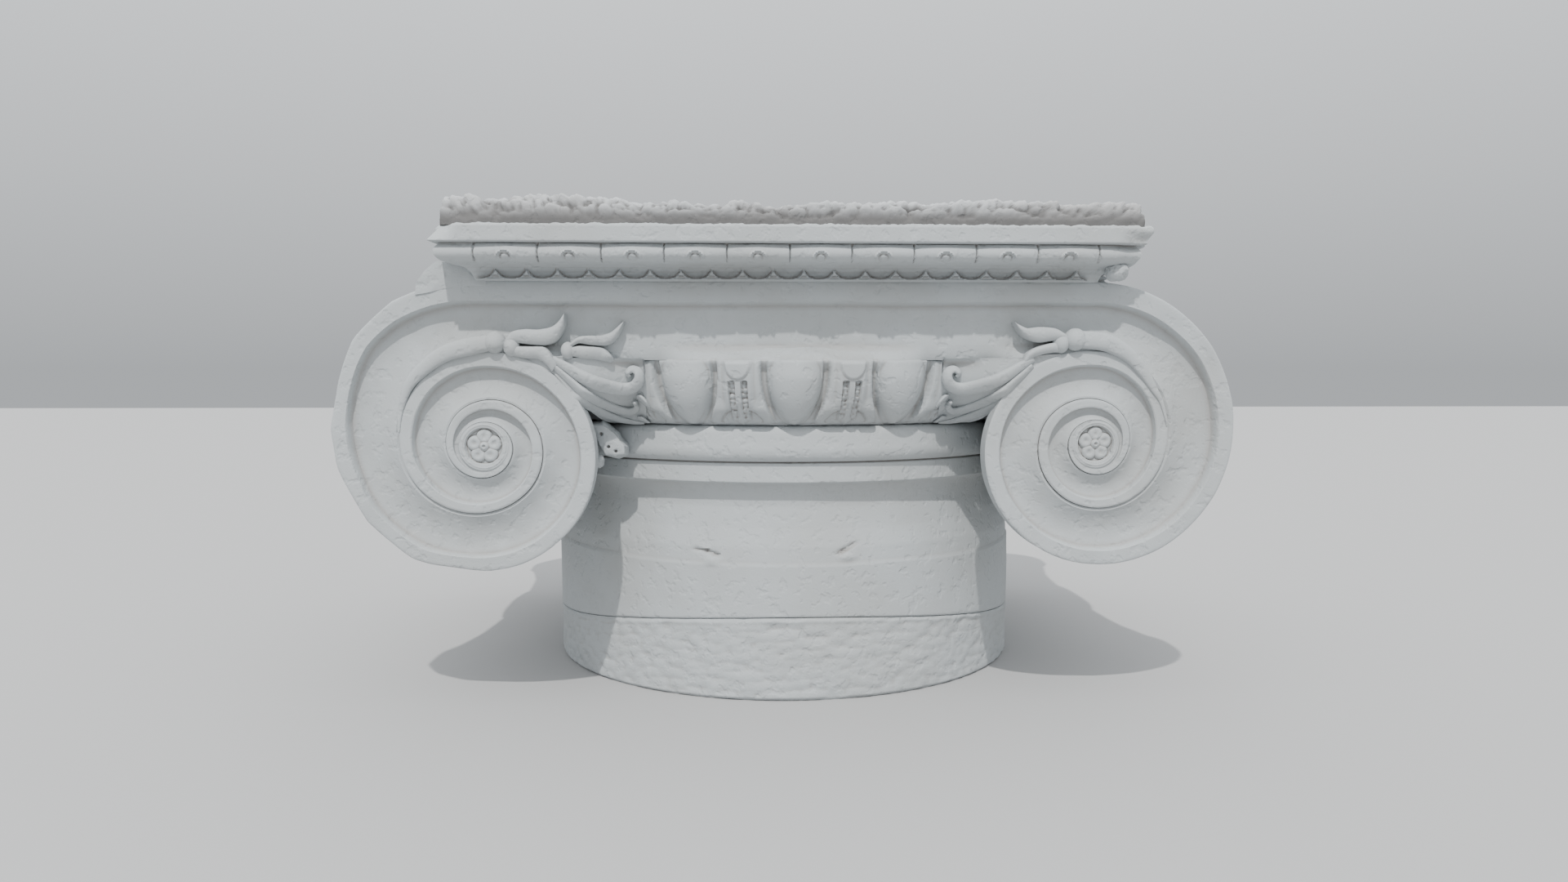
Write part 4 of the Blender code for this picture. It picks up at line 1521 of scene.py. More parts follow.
        def place(u: Array, v: Array) -> Array:
            """Lay the profile along each side in turn.

            Args:
                u: Shares along the sheet's first direction.
                v: Shares along its second direction.

            Returns:
                The position of each point.
            """
            column = np.rint(u * columns).astype(int)
            side = sides[column]
            half, height = table[np.rint(v * rows).astype(int)].T
            along = 2.0 * shares[column] - 1.0
            plain = smooth_step(0.300, 0.308, half)
            reach = half + plain * self.relief(along * half, height, half)
            worn = smooth_step(1.0 - self.corner_span / self.half, 1.0, np.abs(along))
            top = self.corner_top * np.clip((height - 0.4630) / 0.0164, 0.0, 1.0)
            chipped = ((side == 0) & (along > 0.0)) | ((side == 1) & (along < 0.0))
            low = chipped * self.chip * smooth_step(*self.chip_heights, height)
            near = smooth_step(1.0 - self.chip_span / self.half, 1.0, np.abs(along))
            cut = plain * (np.where(chipped, self.chipped_top, 1.0) * top * worn + low * near)
            reach = reach - cut
            across = along * (half - cut)
            angle = side * math.pi / 2.0
            return np.stack([across * np.cos(angle) + reach * np.sin(angle),
                             across * np.sin(angle) - reach * np.cos(angle), height], axis=1)

        return reshape(weld(grid_sheet(name, columns, rows, place)), self.weather)

    def weather(self, points: Array) -> Array:
        """Wear the fascia's top edge and soften the whole moulding a little.

        Args:
            points: Positions in metres, one row each.

        Returns:
            The moved points.
        """
        grown = points.copy()
        edge = np.maximum(np.abs(points[:, 0]), np.abs(points[:, 1]))
        outside = smooth_step(0.30, 0.31, edge)
        top = smooth_step(0.4770, 0.4790, points[:, 2]) * outside
        grown[:, 2] += top * 0.0012 * rough_noise(points, 0.006, 41)
        for axis in (0, 1):
            grown[:, axis] += outside * 0.0006 * rough_noise(points, 0.035, 42 + axis)
        return grown


@dataclass
class RaggedBed:
    """The broken, lumpy stone that is left on the abacus."""

    half: float = 0.3420
    low: float = 0.4780
    top: float = 0.4965
    lump: float = 0.0130
    wave: float = 0.0042
    columns: int = 430
    rows: int = 136
    rim_share: float = 0.86
    corner_round: float = 0.020
    lean: float = 0.030
    crowd: float = 0.55
    knob_rise: float = 0.0100
    fine_rise: float = 0.0044
    fine_reach: float = 0.0040
    sunk: float = 0.0060

    def build(self, name: str) -> bpy.types.Object:
        """Make the closed uneven slab.

        Args:
            name: Name of the piece.

        Returns:
            The finished piece.
        """
        def place(u: Array, v: Array) -> Array:
            """Spread the grid over the top and fold its border down the sides.

            Args:
                u: Shares along the sheet's first direction.
                v: Shares along its second direction.

            Returns:
                The position of each point.
            """
            p = 2.0 * u - 1.0
            q = 2.0 * v - 1.0
            q = np.where(q < 0.0, -np.abs(q) ** self.crowd, q)
            far = np.maximum(np.abs(p), np.abs(q))
            flat = np.minimum(far, self.rim_share) / self.rim_share
            fold = np.clip((far - self.rim_share) / (1.0 - self.rim_share), 0.0, 1.0)
            near = np.minimum(np.abs(p), np.abs(q)) / np.maximum(far, 1e-6)
            scale = self.half * flat / np.maximum(far, 1e-6) * (1.0 - self.corner_round * near**10)
            scale = scale * (1.0 - self.lean * (1.0 - fold) ** 2)
            height = self.top + (self.low - self.top) * fold
            return np.stack([p * scale, q * scale, height], axis=1)

        ob = grid_sheet(name, self.columns, self.rows, place)
        points = get_points(ob)
        share = smooth_step(self.low, self.top, points[:, 2])
        knob = knob_noise(points, self.lump, 51)
        fine = knob_noise(points, 0.45 * self.lump, 52)
        slow = rough_noise(points, 0.060, 53, 2)
        edge = np.maximum(np.abs(points[:, 0]), np.abs(points[:, 1])) / self.half
        rise = share * (self.wave * slow + self.knob_rise * knob + self.fine_rise * fine - self.sunk)
        out = self.knob_rise * knob + self.fine_reach * fine - self.sunk
        out = smooth_step(0.90, 1.0, edge) * share * out
        points[:, 2] += rise
        points[:, 0] += out * points[:, 0] / self.half
        points[:, 1] += out * points[:, 1] / self.half
        set_points(ob, points)
        # Painted highlight: lump crests, more so higher up, are marked to stay pale; the rest of the bed is
        # painted dark as shade.
        painted_lit_crest = ob.data.attributes.new("painted_lit_crest", "FLOAT", "POINT")
        light = smooth_step(0.42, 0.95, 0.62 * knob + 0.55 * fine)
        light = light * smooth_step(self.low + 0.004, self.top + 0.006, points[:, 2])
        painted_lit_crest.data.foreach_set("value", light)
        return weld(ob, cap=True)


@dataclass
class RoughDrum:
    """The short hammered drum under the joint."""

    columns: int = 480
    rows: int = 72
    hammer: float = 0.0095
    depth: float = 0.0022
    joint_gap: float = 0.0004
    worn_rows: int = 3
    worn_foot: float = 0.0026
    worn_top: float = 0.0016
    inset: float = 0.0008
    crumb: float = 0.0022

    def build(self, name: str) -> bpy.types.Object:
        """Make the closed drum.

        Args:
            name: Name of the piece.

        Returns:
            The finished piece.
        """
        def place(u: Array, v: Array) -> Array:
            """Lay the wall between the floor and the wavy joint.

            Args:
                u: Shares along the sheet's first direction.
                v: Shares along its second direction.

            Returns:
                The position of each point.
            """
            angle = turn_angle(u, self.columns)
            row = np.rint(v * self.rows)
            share = np.clip((row - 1.0) / (self.rows - 2.0), 0.0, 1.0)
            height = share * (joint_height(angle) - self.joint_gap)
            worn = self.worn_foot * smooth_step(self.worn_rows, 0.0, row - 1.0)
            worn = worn + self.worn_top * smooth_step(self.worn_rows, 0.0, self.rows - 1 - row)
            radius = np.where((row == 0) | (row == self.rows), 0.0, DRUM_RADIUS - self.inset - worn)
            height = np.where(row == self.rows, JOINT_HEIGHT - self.joint_gap, height)
            return turned(radius, angle, height)

        ob = weld(grid_sheet(name, self.columns, self.rows, place))
        points = get_points(ob)
        reach, angle = round_axis(points)
        outside = smooth_step(0.20, 0.25, reach)
        below = joint_height(angle) - points[:, 2]
        rough = smooth_step(0.001, 0.006, below) * smooth_step(0.0, 0.003, points[:, 2])
        bumps = knob_noise(points, self.hammer, 61) - 0.55
        slow = rough_noise(points, 0.050, 62, 2)
        crumbs = knob_noise(points, 0.0075, 63) * smooth_step(0.008, 0.001, below)
        out = outside * (rough * (self.depth * bumps + 0.0006 * slow) + self.crumb * crumbs - 0.0006)
        set_points(ob, push_out(points, out))
        return ob


@dataclass(frozen=True)
class Stalk:
    """A rounded stalk or ribbon, by its middle line, half widths and lifts from the ground."""

    path: Line
    widths: tuple[float, ...]
    lifts: tuple[float, ...]
    lean: float = 0.0


@dataclass(frozen=True)
class Blade:
    """A blade between two edges with as many points, by its lifts from the ground."""

    top: Line
    low: Line
    lifts: tuple[float, ...]
    lean: float = 0.0


@dataclass(frozen=True)
class Knob:
    """A rounded knob, by its distance from the middle, its height and its half lengths."""

    place: tuple[float, float]
    size: tuple[float, float, float]


Part = Stalk | Blade | Knob


@dataclass
class Sprig:
    """The stem, flowers and fronds that fill the corner between a scroll and the eggs."""

    side: Side
    parts: tuple[Part, ...]
    sections: int = 24
    steps: int = 56
    sink: float = 0.0130
    floor_distance: float = 0.2955
    inward: float = 0.0290
    closing: float = -0.3

    def front(self, along: Array, height: Array) -> Array:
        """Return the Y where the carving starts, at a distance from the middle and a height.

        Args:
            along: Distance from the middle.
            height: Height of each point.

        Returns:
            The Y of each point.
        """
        inward = self.inward * smooth_step(0.292, 0.330, height)
        share = smooth_step(0.168, 0.236, along + inward)
        echinus = np.sqrt(np.clip(Echinus().round_at(height) ** 2 - along**2, 0.0001, 1.0))
        distance = share * FACE_DISTANCE + (1.0 - share) * echinus
        channel = smooth_step(0.3490, 0.3560, height)
        return -np.maximum(distance, channel * self.floor_distance + (1.0 - channel) * distance)

    def lay(self, x: Array, z: Array, rise: Array, px: Array, pz: Array) -> Array:
        """Return positions at PX and PZ that stand out from the ground found at X and Z."""
        return np.stack([self.side.value * px, self.front(x, z) - rise, pz], axis=1)

    def walk(self, u: Array, last: int) -> tuple[Array, Array]:
        """Return the place along a row of points, and where the closed ends are.

        Args:
            u: Shares along the sheet's first direction.
            last: Index of the last point of the row.

        Returns:
            The places and the ends.
        """
        step = np.rint(u * self.steps)
        at = np.clip((step - 1.0) / (self.steps - 2.0), 0.0, 1.0) * last
        return at, (step < 0.5) | (step > self.steps - 0.5)

    def rise(self, turn: Array, lift: Array, lower: Array, lean: float) -> Array:
        """Return how far a section stands out at a turn round it, less towards its lower edge.

        Args:
            turn: Angle round the section.
            lift: How far the part stands out.
            lower: Share of the way to its lower edge.
            lean: Share of the lift that is lost at the lower edge.

        Returns:
            The reach of each point.
        """
        bend = np.abs(np.sin(turn))
        proud = bend**0.55 * lift * (1.0 - lean * lower)
        return np.where(np.sin(turn) >= 0.0, proud, -(bend**0.35) * self.sink)

    def stalk(self, part: Stalk) -> Placer:
        """Sweep a rounded section along a middle line.

        Args:
            part: The stalk.

        Returns:
            What places the points of its sheet.
        """
        xs, zs = zip(*part.path)
        last = len(xs) - 1

        def slope(values: Sequence[float], at: Array) -> Array:
            """Return the change of a row of values round a place on it."""
            after = curve_value(values, np.minimum(at + 0.02, last))
            return after - curve_value(values, np.maximum(at - 0.02, 0.0))

        def place(u: Array, v: Array) -> Array:
            """Lay the rounded section along the path.

            Args:
                u: Shares along the sheet's first direction.
                v: Shares along its second direction.

            Returns:
                The position of each point.
            """
            at, ends = self.walk(u, last)
            x = curve_value(xs, at)
            z = curve_value(zs, at)
            tx = slope(xs, at)
            tz = slope(zs, at)
            size = np.maximum(np.hypot(tx, tz), 1e-9)
            half = np.interp(at, np.arange(last + 1), part.widths)
            lift = np.interp(at, np.arange(last + 1), part.lifts)
            turn = turn_angle(v, self.sections)
            across = np.where(ends, 0.0, np.cos(turn) * half)
            rise = self.rise(turn, lift, 0.5 + 0.5 * np.cos(turn), part.lean)
            rise = np.where(ends, self.closing * self.sink, rise)
            return self.lay(x, z, rise, x - tz / size * across, z + tx / size * across)

        return place

    def blade(self, part: Blade) -> Placer:
        """Span a closed blade between its edges.

        Args:
            part: The blade.

        Returns:
            What places the points of its sheet.
        """
        last = len(part.top) - 1

        def between(axis: int, at: Array, lower: Array) -> Array:
            """Return X or Z between the edges."""
            top, low = (curve_value([p[axis] for p in edge], at) for edge in (part.top, part.low))
            return (1.0 - lower) * top + lower * low

        def place(u: Array, v: Array) -> Array:
            """Lay the section from edge to edge.

            Args:
                u: Shares along the sheet's first direction.
                v: Shares along its second direction.

            Returns:
                The position of each point.
            """
            at, ends = self.walk(u, last)
            turn = turn_angle(v, self.sections)
            lower = np.where(ends, 0.5, 0.5 + 0.5 * np.cos(turn))
            x = between(0, at, lower)
            z = between(1, at, lower)
            rise = self.rise(turn, np.interp(at, np.arange(last + 1), part.lifts), lower, part.lean)
            rise = np.where(ends, self.closing * self.sink, rise)
            return self.lay(x, z, rise, x, z)

        return place

    def ball(self, part: Knob) -> bpy.types.Object:
        """Make a rounded knob.

        Args:
            part: The part.

        Returns:
            The closed knob.
        """
        clear_selection()
        x, z = part.place
        y = float(self.front(np.array([x]), np.array([z]))[0])
        spot = (self.side.value * x, y, z)
        bpy.ops.mesh.primitive_ico_sphere_add(subdivisions=4, radius=1.0, location=spot)
        bpy.ops.transform.resize(value=part.size)
        ob = bpy.context.active_object
        bpy.ops.object.transform_apply(location=True, rotation=True, scale=True)
        return ob

    def make(self, part: Part) -> bpy.types.Object:
        """Make one part, closed.

        Args:
            part: The part.

        Returns:
            The closed part.
        """
        if isinstance(part, Knob):
            return self.ball(part)
        place = self.stalk(part) if isinstance(part, Stalk) else self.blade(part)
        return weld(grid_sheet("sprig_part", self.steps, self.sections, place))

    def build(self, name: str) -> bpy.types.Object:
        """Make the whole sprig as one piece."""
        return join([self.make(part) for part in self.parts], name)


LEFT_FLOWER = (
    Stalk(((0.3885, 0.281), (0.3860, 0.302), (0.3784, 0.3254), (0.3630, 0.3432), (0.3418, 0.3578),
           (0.3176, 0.3648), (0.298, 0.3685)),
          (0.0010, 0.0024, 0.0048, 0.0068, 0.0082, 0.0090, 0.0078),
          (0.0008, 0.0020, 0.0040, 0.0056, 0.0070, 0.0078, 0.0070)),
    Knob((0.2935, 0.3690), (0.0108, 0.0108, 0.0108)),
    Knob((0.2775, 0.3650), (0.0080, 0.0085, 0.0102)),
    Blade(((0.2830, 0.3710), (0.2769, 0.3790), (0.2646, 0.3818), (0.2513, 0.3815), (0.2379, 0.3841),
           (0.2311, 0.3891), (0.2262, 0.3960), (0.2254, 0.3975)),
          ((0.2830, 0.3660), (0.2715, 0.3680), (0.2593, 0.3668), (0.2448, 0.3660), (0.2347, 0.3692),
           (0.2291, 0.3757), (0.2252, 0.3850), (0.2250, 0.3965)),
          (0.0060, 0.0082, 0.0092, 0.0098, 0.0100, 0.0096, 0.0080, 0.0050), 0.25),
    Blade(((0.2830, 0.3660), (0.2716, 0.3652), (0.2580, 0.3650), (0.2448, 0.3642), (0.2375, 0.3560),
           (0.2330, 0.3470)),
          ((0.2830, 0.3580), (0.2717, 0.3546), (0.2620, 0.3530), (0.2517, 0.3524), (0.2429, 0.3462),
           (0.2385, 0.3400)),
          (0.0060, 0.0075, 0.0085, 0.0088, 0.0080, 0.0040), 0.35))
RIGHT_FLOWER = (
    Stalk(((0.3745, 0.2860), (0.3731, 0.2937), (0.3677, 0.3108), (0.3600, 0.3230), (0.3498, 0.3388),
           (0.3371, 0.3540), (0.3222, 0.3641), (0.3073, 0.3700), (0.2830, 0.3722)),
          (0.0008, 0.0012, 0.0022, 0.0036, 0.0054, 0.0070, 0.0084, 0.0092, 0.0086),
          (0.0006, 0.0010, 0.0018, 0.0030, 0.0044, 0.0056, 0.0068, 0.0076, 0.0070)),
    Knob((0.2797, 0.3722), (0.0112, 0.0112, 0.0112)),
    Knob((0.2655, 0.3690), (0.0084, 0.0088, 0.0104)),
    Blade(((0.2710, 0.3755), (0.2674, 0.3786), (0.2576, 0.3834), (0.2429, 0.3846), (0.2308, 0.3834),
           (0.2222, 0.3869), (0.2176, 0.3896)),
          ((0.2710, 0.3705), (0.2627, 0.3714), (0.2529, 0.3702), (0.2432, 0.3690), (0.2334, 0.3714),
           (0.2248, 0.3774), (0.2184, 0.3880)),
          (0.0060, 0.0085, 0.0095, 0.0100, 0.0098, 0.0082, 0.0050), 0.25),
    Blade(((0.2675, 0.3704), (0.2530, 0.3682), (0.2408, 0.3648), (0.2312, 0.3590), (0.2265, 0.3497)),
          ((0.2678, 0.3594), (0.2556, 0.3588), (0.2434, 0.3562), (0.2349, 0.3527), (0.2302, 0.3461)),
          (0.0060, 0.0080, 0.0088, 0.0080, 0.0045), 0.35))
GROUND = Blade(((0.2660, 0.3575), (0.2500, 0.3570), (0.2370, 0.3550), (0.2200, 0.3540), (0.1990, 0.3540),
                (0.1720, 0.3535), (0.1500, 0.3530)),
               ((0.2640, 0.3500), (0.2480, 0.3440), (0.2335, 0.3350), (0.2160, 0.3140), (0.1940, 0.2890),
                (0.1720, 0.2862), (0.1500, 0.2862)),
               (-0.0010, -0.0008, -0.0008, -0.0006, -0.0006, -0.0010, -0.0020))
UPPER_FROND = Stalk(((0.2380, 0.3530), (0.2228, 0.3440), (0.2106, 0.3362), (0.1973, 0.3295), (0.1828, 0.3246),
                     (0.1704, 0.3226), (0.1603, 0.3252), (0.1548, 0.3320), (0.1556, 0.3399), (0.1618, 0.3426),
                     (0.1664, 0.3387), (0.1637, 0.3350)),
                    (0.0030, 0.0050, 0.0062, 0.0070, 0.0070, 0.0066, 0.0060, 0.0055, 0.0046, 0.0038, 0.0030,
                     0.0016),
                    (0.0040, 0.0075, 0.0095, 0.0105, 0.0110, 0.0110, 0.0110, 0.0105, 0.0095, 0.0085, 0.0075,
                     0.0060), 0.50)
MIDDLE_FROND = Stalk(((0.2370, 0.3460), (0.2219, 0.3325), (0.2097, 0.3213), (0.1975, 0.3117),
                      (0.1852, 0.3042), (0.1740, 0.3001), (0.1645, 0.2998), (0.1592, 0.3040),
                      (0.1615, 0.3085)),
                     (0.0024, 0.0036, 0.0046, 0.0050, 0.0048, 0.0044, 0.0036, 0.0028, 0.0016),
                     (0.0040, 0.0070, 0.0090, 0.0100, 0.0105, 0.0105, 0.0100, 0.0090, 0.0080), 0.70)
LOWER_FROND = Stalk(((0.2350, 0.3400), (0.2200, 0.3225), (0.2085, 0.3096), (0.1965, 0.2998), (0.1865, 0.2938),
                     (0.1753, 0.2897), (0.1640, 0.2876), (0.1539, 0.2866)),
                    (0.0022, 0.0036, 0.0046, 0.0048, 0.0044, 0.0036, 0.0026, 0.0012),
                    (-0.0030, -0.0020, 0.0050, 0.0085, 0.0090, 0.0085, 0.0070, 0.0040), 0.70)
TUFT = Blade(((0.1580, 0.3170), (0.1530, 0.3165), (0.1480, 0.3110), (0.1455, 0.3050)),
             ((0.1580, 0.3130), (0.1545, 0.3100), (0.1505, 0.3060), (0.1460, 0.3030)),
             (0.0050, 0.0090, 0.0085, 0.0040), 0.30)
BUD = Blade(((0.1600, 0.2940), (0.1545, 0.2945), (0.1495, 0.2905), (0.1470, 0.2880)),
            ((0.1600, 0.2900), (0.1560, 0.2890), (0.1510, 0.2872), (0.1475, 0.2868)),
            (0.0050, 0.0080, 0.0080, 0.0040), 0.30)
FRONDS = (GROUND, UPPER_FROND, MIDDLE_FROND, LOWER_FROND, TUFT, BUD,
          Knob((0.1604, 0.3085), (0.0030, 0.0110, 0.0030)))
SMALL_FLOWER = (
    Knob((0.2225, 0.3610), (0.0070, 0.0080, 0.0085)),
    Blade(((0.2260, 0.3620), (0.2135, 0.3732), (0.2034, 0.3755), (0.1911, 0.3758), (0.1810, 0.3791),
           (0.1742, 0.3847), (0.1694, 0.3890), (0.1688, 0.3900)),
          ((0.2260, 0.3590), (0.2155, 0.3660), (0.2102, 0.3678), (0.1979, 0.3660), (0.1834, 0.3664),
           (0.1744, 0.3742), (0.1692, 0.3850), (0.1684, 0.3892)),
          (0.0055, 0.0080, 0.0085, 0.0090, 0.0092, 0.0088, 0.0070, 0.0045), 0.25),
    Blade(((0.2260, 0.3600), (0.2147, 0.3652), (0.2035, 0.3652), (0.1890, 0.3634), (0.1813, 0.3567),
           (0.1790, 0.3520)),
          ((0.2260, 0.3560), (0.2170, 0.3550), (0.2075, 0.3530), (0.1960, 0.3520), (0.1870, 0.3500),
           (0.1820, 0.3490)),
          (0.0055, 0.0075, 0.0085, 0.0085, 0.0070, 0.0040), 0.35))


def outline_reach(outline: Line, centre: tuple[float, float], angle: Array) -> Array:
    """Return how far a closed outline lies from a centre in each direction.

    Args:
        outline: Corners in order, seen from the centre in rising angle.
        centre: The centre inside it.
        angle: Directions in radians.

    Returns:
        The distance to the outline in each direction.
    """
    corners = np.array(outline) - np.array(centre)
    found = np.full(len(angle), np.inf)
    for (ax, az), (bx, bz) in zip(corners, np.roll(corners, -1, axis=0)):
        across = (bz - az) * np.cos(angle) - (bx - ax) * np.sin(angle)
        reach = (ax * bz - bx * az) / np.where(np.abs(across) < 1e-9, 1e-9, across)
        along = (reach * np.cos(angle) - ax) * (bx - ax) + (reach * np.sin(angle) - az) * (bz - az)
        share = along / ((bx - ax) ** 2 + (bz - az) ** 2)
        hit = (reach > 0.0) & (share > -1e-6) & (share < 1.0 + 1e-6)
        found = np.where(hit, np.minimum(found, reach), found)
    return found


@dataclass
class Lump:
    """A lump of old mortar, with a flat front where it was smeared."""

    centre: tuple[float, float, float]
    size: tuple[float, float, float]
    seed: int
    rough: float = 0.16
    outline: Line = ()
    flat: float = 1.0
    holes: Line = ()
    hole_radius: float = 0.0022
    hole_depth: float = 0.0050

    def build(self, name: str) -> bpy.types.Object:
        """Make the uneven lump.

        Args:
            name: Name of the piece.

        Returns:
            The finished piece.
        """
        clear_selection()
        bpy.ops.mesh.primitive_ico_sphere_add(subdivisions=6 if self.holes else 5, radius=1.0)
        ob = give_name(bpy.context.active_object, name)
        points = get_points(ob)
        grow = 1.0 + self.rough * rough_noise(points, 0.9, self.seed, 4)
        grow += 0.5 * self.rough * knob_noise(points, 0.35, self.seed + 1)
        points = points * grow[:, None]
        if self.outline:
            angle = np.arctan2(points[:, 2], points[:, 0])
            factor = outline_reach(self.outline, (self.centre[0], self.centre[2]), angle)
            points[:, 0] *= factor
            points[:, 2] *= factor
        pressed = -self.flat + 0.15 * (points[:, 1] + self.flat)
        points[:, 1] = np.where(points[:, 1] < -self.flat, pressed, points[:, 1])
        points = points * np.array(self.size) + np.array(self.centre)
        for x, z in self.holes:
            reach = np.hypot(points[:, 0] - x, points[:, 2] - z)
            front = points[:, 1] < self.centre[1]
            hole = smooth_step(self.hole_radius, 0.4 * self.hole_radius, reach)
            points[:, 1] += front * self.hole_depth * hole
        set_points(ob, points)
        return ob


@dataclass
class Wedge:
    """The broken stump of stone between a scroll and the abacus."""

    outline: Line
    front: float
    back: float
    seed: int
    steps: int = 96
    rows: int = 24
    wear: float = 0.0009

    def build(self, name: str) -> bpy.types.Object:
        """Make the closed stump.

        Args:
            name: Name of the piece.

        Returns:
            The finished piece.
        """
        ring = np.array(self.outline + self.outline[:1])
        walked = np.concatenate([[0.0], np.cumsum(np.hypot(*np.diff(ring, axis=0).T))])
        middle = np.array(self.outline).mean(axis=0)

        def place(u: Array, v: Array) -> Array:
            """Lay the front, the wall and the back round the outline.

            Args:
                u: Shares along the sheet's first direction.
                v: Shares along its second direction.

            Returns:
                The position of each point.
            """
            at = np.rint(u * self.steps) / self.steps * walked[-1]
            x = np.interp(at, walked, ring[:, 0])
            z = np.interp(at, walked, ring[:, 1])
            row = np.rint(v * self.rows) / self.rows
            inner = np.clip(np.minimum(row, 1.0 - row) * 4.0, 0.0, 1.0)
            bevel = 1.0 - 0.16 * (1.0 - smooth_step(0.9, 1.0, inner))
            share = inner * np.where(inner < 1.0, bevel, 1.0)
            y = self.front + (self.back - self.front) * smooth_step(0.22, 0.78, row)
            x = middle[0] + (x - middle[0]) * share
            z = middle[1] + (z - middle[1]) * share
            return np.stack([x, y, z], axis=1)

        ob = weld(grid_sheet(name, self.steps, self.rows, place))
        set_points(ob, shake(get_points(ob), self.wear, 0.022, self.seed))
        return weld(ob)


@dataclass
class Stage:
    """The plain floor, the soft light and the camera at the photograph's angle."""

    yaw: float = 2.0
    distance: float = 1.3577
    height: float = 0.3438
    pitch: float = 3.919
    lens: float = 24.44
    sun_elevation: float = 54.0
    sun_turn: float = -10.0
    sun_strength: float = 3.3
    sky_strength: float = 1.0
    sun_width: float = 1.2
    sun_colour: Colour = (1.0, 0.985, 0.96)
    horizon: Colour = (0.48, 0.50, 0.52)
    overhead: Colour = (2.10, 2.16, 2.22)
    floor_size: float = 16.0
    floor_colour: Colour = (0.40, 0.40, 0.40)
    floor_roughness: float = 0.9
    sensor: float = 36.0

    def floor(self) -> None:
        """Add a wide flat pale floor."""
        clear_selection()
        bpy.ops.mesh.primitive_plane_add(size=self.floor_size, location=(0.0, 0.0, 0.0))
        floor = bpy.context.active_object
        floor.name = "floor"
        mat = bpy.data.materials.new("pale_floor")
        mat.use_nodes = True
        shader = mat.node_tree.nodes["Principled BSDF"]
        shader.inputs["Base Color"].default_value = (*self.floor_colour, 1.0)
        shader.inputs["Roughness"].default_value = self.floor_roughness
        floor.data.materials.append(mat)

    def light(self) -> None:
        """Add the soft sky and one high light in front."""
        world = bpy.data.worlds.new("studio")
        bpy.context.scene.world = world
        world.use_nodes = True
        tree = world.node_tree
        sky = tree.nodes["Background"]
        sky.inputs["Strength"].default_value = self.sky_strength
        place = tree.nodes.new("ShaderNodeTexCoord")
        parts = tree.nodes.new("ShaderNodeSeparateXYZ")
        ramp = tree.nodes.new("ShaderNodeValToRGB")
        ramp.color_ramp.elements[0].color = (*self.horizon, 1.0)
        ramp.color_ramp.elements[1].color = (*self.overhead, 1.0)
        wire(place, "Generated", parts, "Vector")
        wire(parts, "Z", ramp, "Fac")
        wire(ramp, "Color", sky, "Color")
        clear_selection()
        bpy.ops.object.light_add(type="SUN", location=(0.0, -3.0, 4.0))
        sun = bpy.context.active_object
        sun.name = "key_light"
        sun.data.energy = self.sun_strength
        sun.data.angle = math.radians(self.sun_width)
        sun.data.color = self.sun_colour
        sun.rotation_euler = (math.radians(90.0 - self.sun_elevation), 0.0, math.radians(self.sun_turn))

    def camera(self) -> None:
        """Place the camera."""
        clear_selection()
        yaw = math.radians(self.yaw)
        place = (-self.distance * math.sin(yaw), -self.distance * math.cos(yaw), self.height)
        turn = (math.radians(90.0 - self.pitch), 0.0, -yaw)
        bpy.ops.object.camera_add(location=place, rotation=turn)
        camera = bpy.context.active_object
        camera.name = "photo_camera"
        camera.data.lens = self.lens
        camera.data.sensor_width = self.sensor
        bpy.context.scene.camera = camera


LEFT_VOLUTE = Volute(Side.LEFT, (-0.3065, 0.2665),
                     (0.1625, 0.1665, 0.1468, 0.1370, 0.1255, 0.1180, 0.1088, 0.0998),
                     (0.0930, 0.0815, 0.0655, 0.0570, 0.0450, 0.0362, 0.0312, 0.0275, 0.0235),
                     battered=0.008)
RIGHT_VOLUTE = Volute(Side.RIGHT, (0.3030, 0.2680),
                      (0.1610, 0.1525, 0.1388, 0.1280, 0.1225, 0.1180, 0.1115, 0.1015),
                      (0.0925, 0.0725, 0.0645, 0.0580, 0.0445, 0.0345, 0.0305, 0.0275, 0.0235))


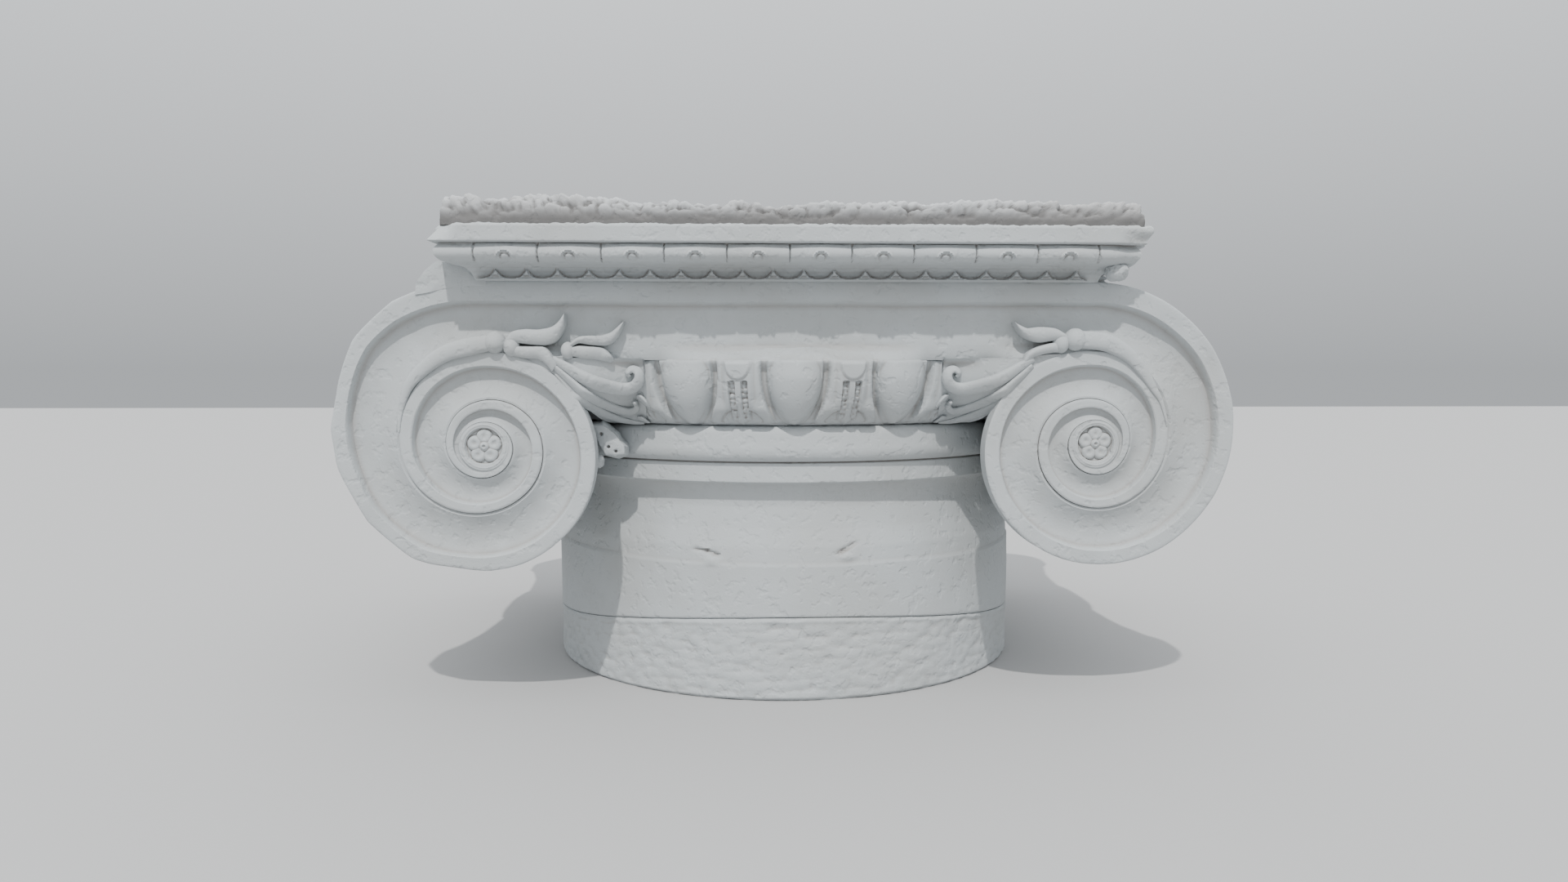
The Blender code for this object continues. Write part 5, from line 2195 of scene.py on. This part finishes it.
def main() -> None:
    """Build every piece, dress it and set the stage."""
    logging.basicConfig(level=logging.INFO, format="%(message)s")
    carved = StoneFinish("carved_stone").build()
    # Broken stone: the near-black hollow colour is painted shade between the lumps, with a painted highlight
    # on their crests.
    broken = StoneFinish("broken_stone", pale=(0.480, 0.495, 0.505), stain=(0.400, 0.395, 0.390),
                         hollow=(0.140, 0.137, 0.135), painted_lit_crest="painted_lit_crest").build()
    hammered = StoneFinish("hammered_stone", grain_depth=0.0004).build()

    def add(ob: bpy.types.Object, sharp: float = 40.0) -> None:
        """Dress one piece of the capital."""
        dress(ob, carved, "capital", sharp)

    add(ScrollFace(Facing.FRONT, (LEFT_VOLUTE, RIGHT_VOLUTE)).build("face_front"), 35.0)
    back = ScrollFace(Facing.BACK, (LEFT_VOLUTE, RIGHT_VOLUTE), steps_per_turn=80)
    add(back.build("face_back"), 35.0)
    add(Neck().build("neck"))
    add(Echinus().build("echinus"), 50.0)
    body = Body()
    add(body.core("core"))
    add(body.bolster("bolster_left", LEFT_VOLUTE))
    add(body.bolster("bolster_right", RIGHT_VOLUTE))
    add(Abacus().build("abacus"))
    dress(RaggedBed().build("ragged_bed"), broken, "capital", 60.0)
    add(Sprig(Side.LEFT, LEFT_FLOWER + FRONDS + SMALL_FLOWER).build("sprig_left"), 60.0)
    add(Sprig(Side.RIGHT, RIGHT_FLOWER + FRONDS).build("sprig_right"), 60.0)
    smear = Lump((-0.1890, -0.2440, 0.2690), (1.0, 0.0300, 1.0), 4, 0.10,
                 ((-0.1715, 0.2634), (-0.1850, 0.2800), (-0.1960, 0.2900), (-0.2080, 0.2870),
                  (-0.2040, 0.2706), (-0.1950, 0.2570), (-0.1930, 0.2530), (-0.1817, 0.2495),
                  (-0.1715, 0.2545)), 0.60,
                 ((-0.1966, 0.2764), (-0.1892, 0.2632), (-0.1819, 0.2587)))
    drop = Lump((-0.1993, -0.2560, 0.2480), (0.0046, 0.0120, 0.0064), 7)
    add(join([smear.build("smear"), drop.build("drop")], "mortar_left"), 60.0)
    add(Lump((0.3150, -0.3190, 0.4375), (0.0105, 0.0120, 0.0090), 5).build("mortar_right"), 60.0)
    stump = Wedge(((-0.3700, 0.4150), (-0.3687, 0.4243), (-0.3653, 0.4307), (-0.3587, 0.4388),
                   (-0.3473, 0.4470), (-0.3300, 0.4450), (-0.3150, 0.4425), (-0.3010, 0.4400),
                   (-0.3010, 0.4240), (-0.3364, 0.4220), (-0.3525, 0.4180)), -0.3040, -0.2550, 6)
    add(stump.build("shoulder"), 30.0)
    dress(RoughDrum().build("hammered_drum"), hammered, "rough_drum", 60.0)
    stage = Stage()
    stage.floor()
    stage.light()
    stage.camera()


if __name__ == "__main__":
    main()
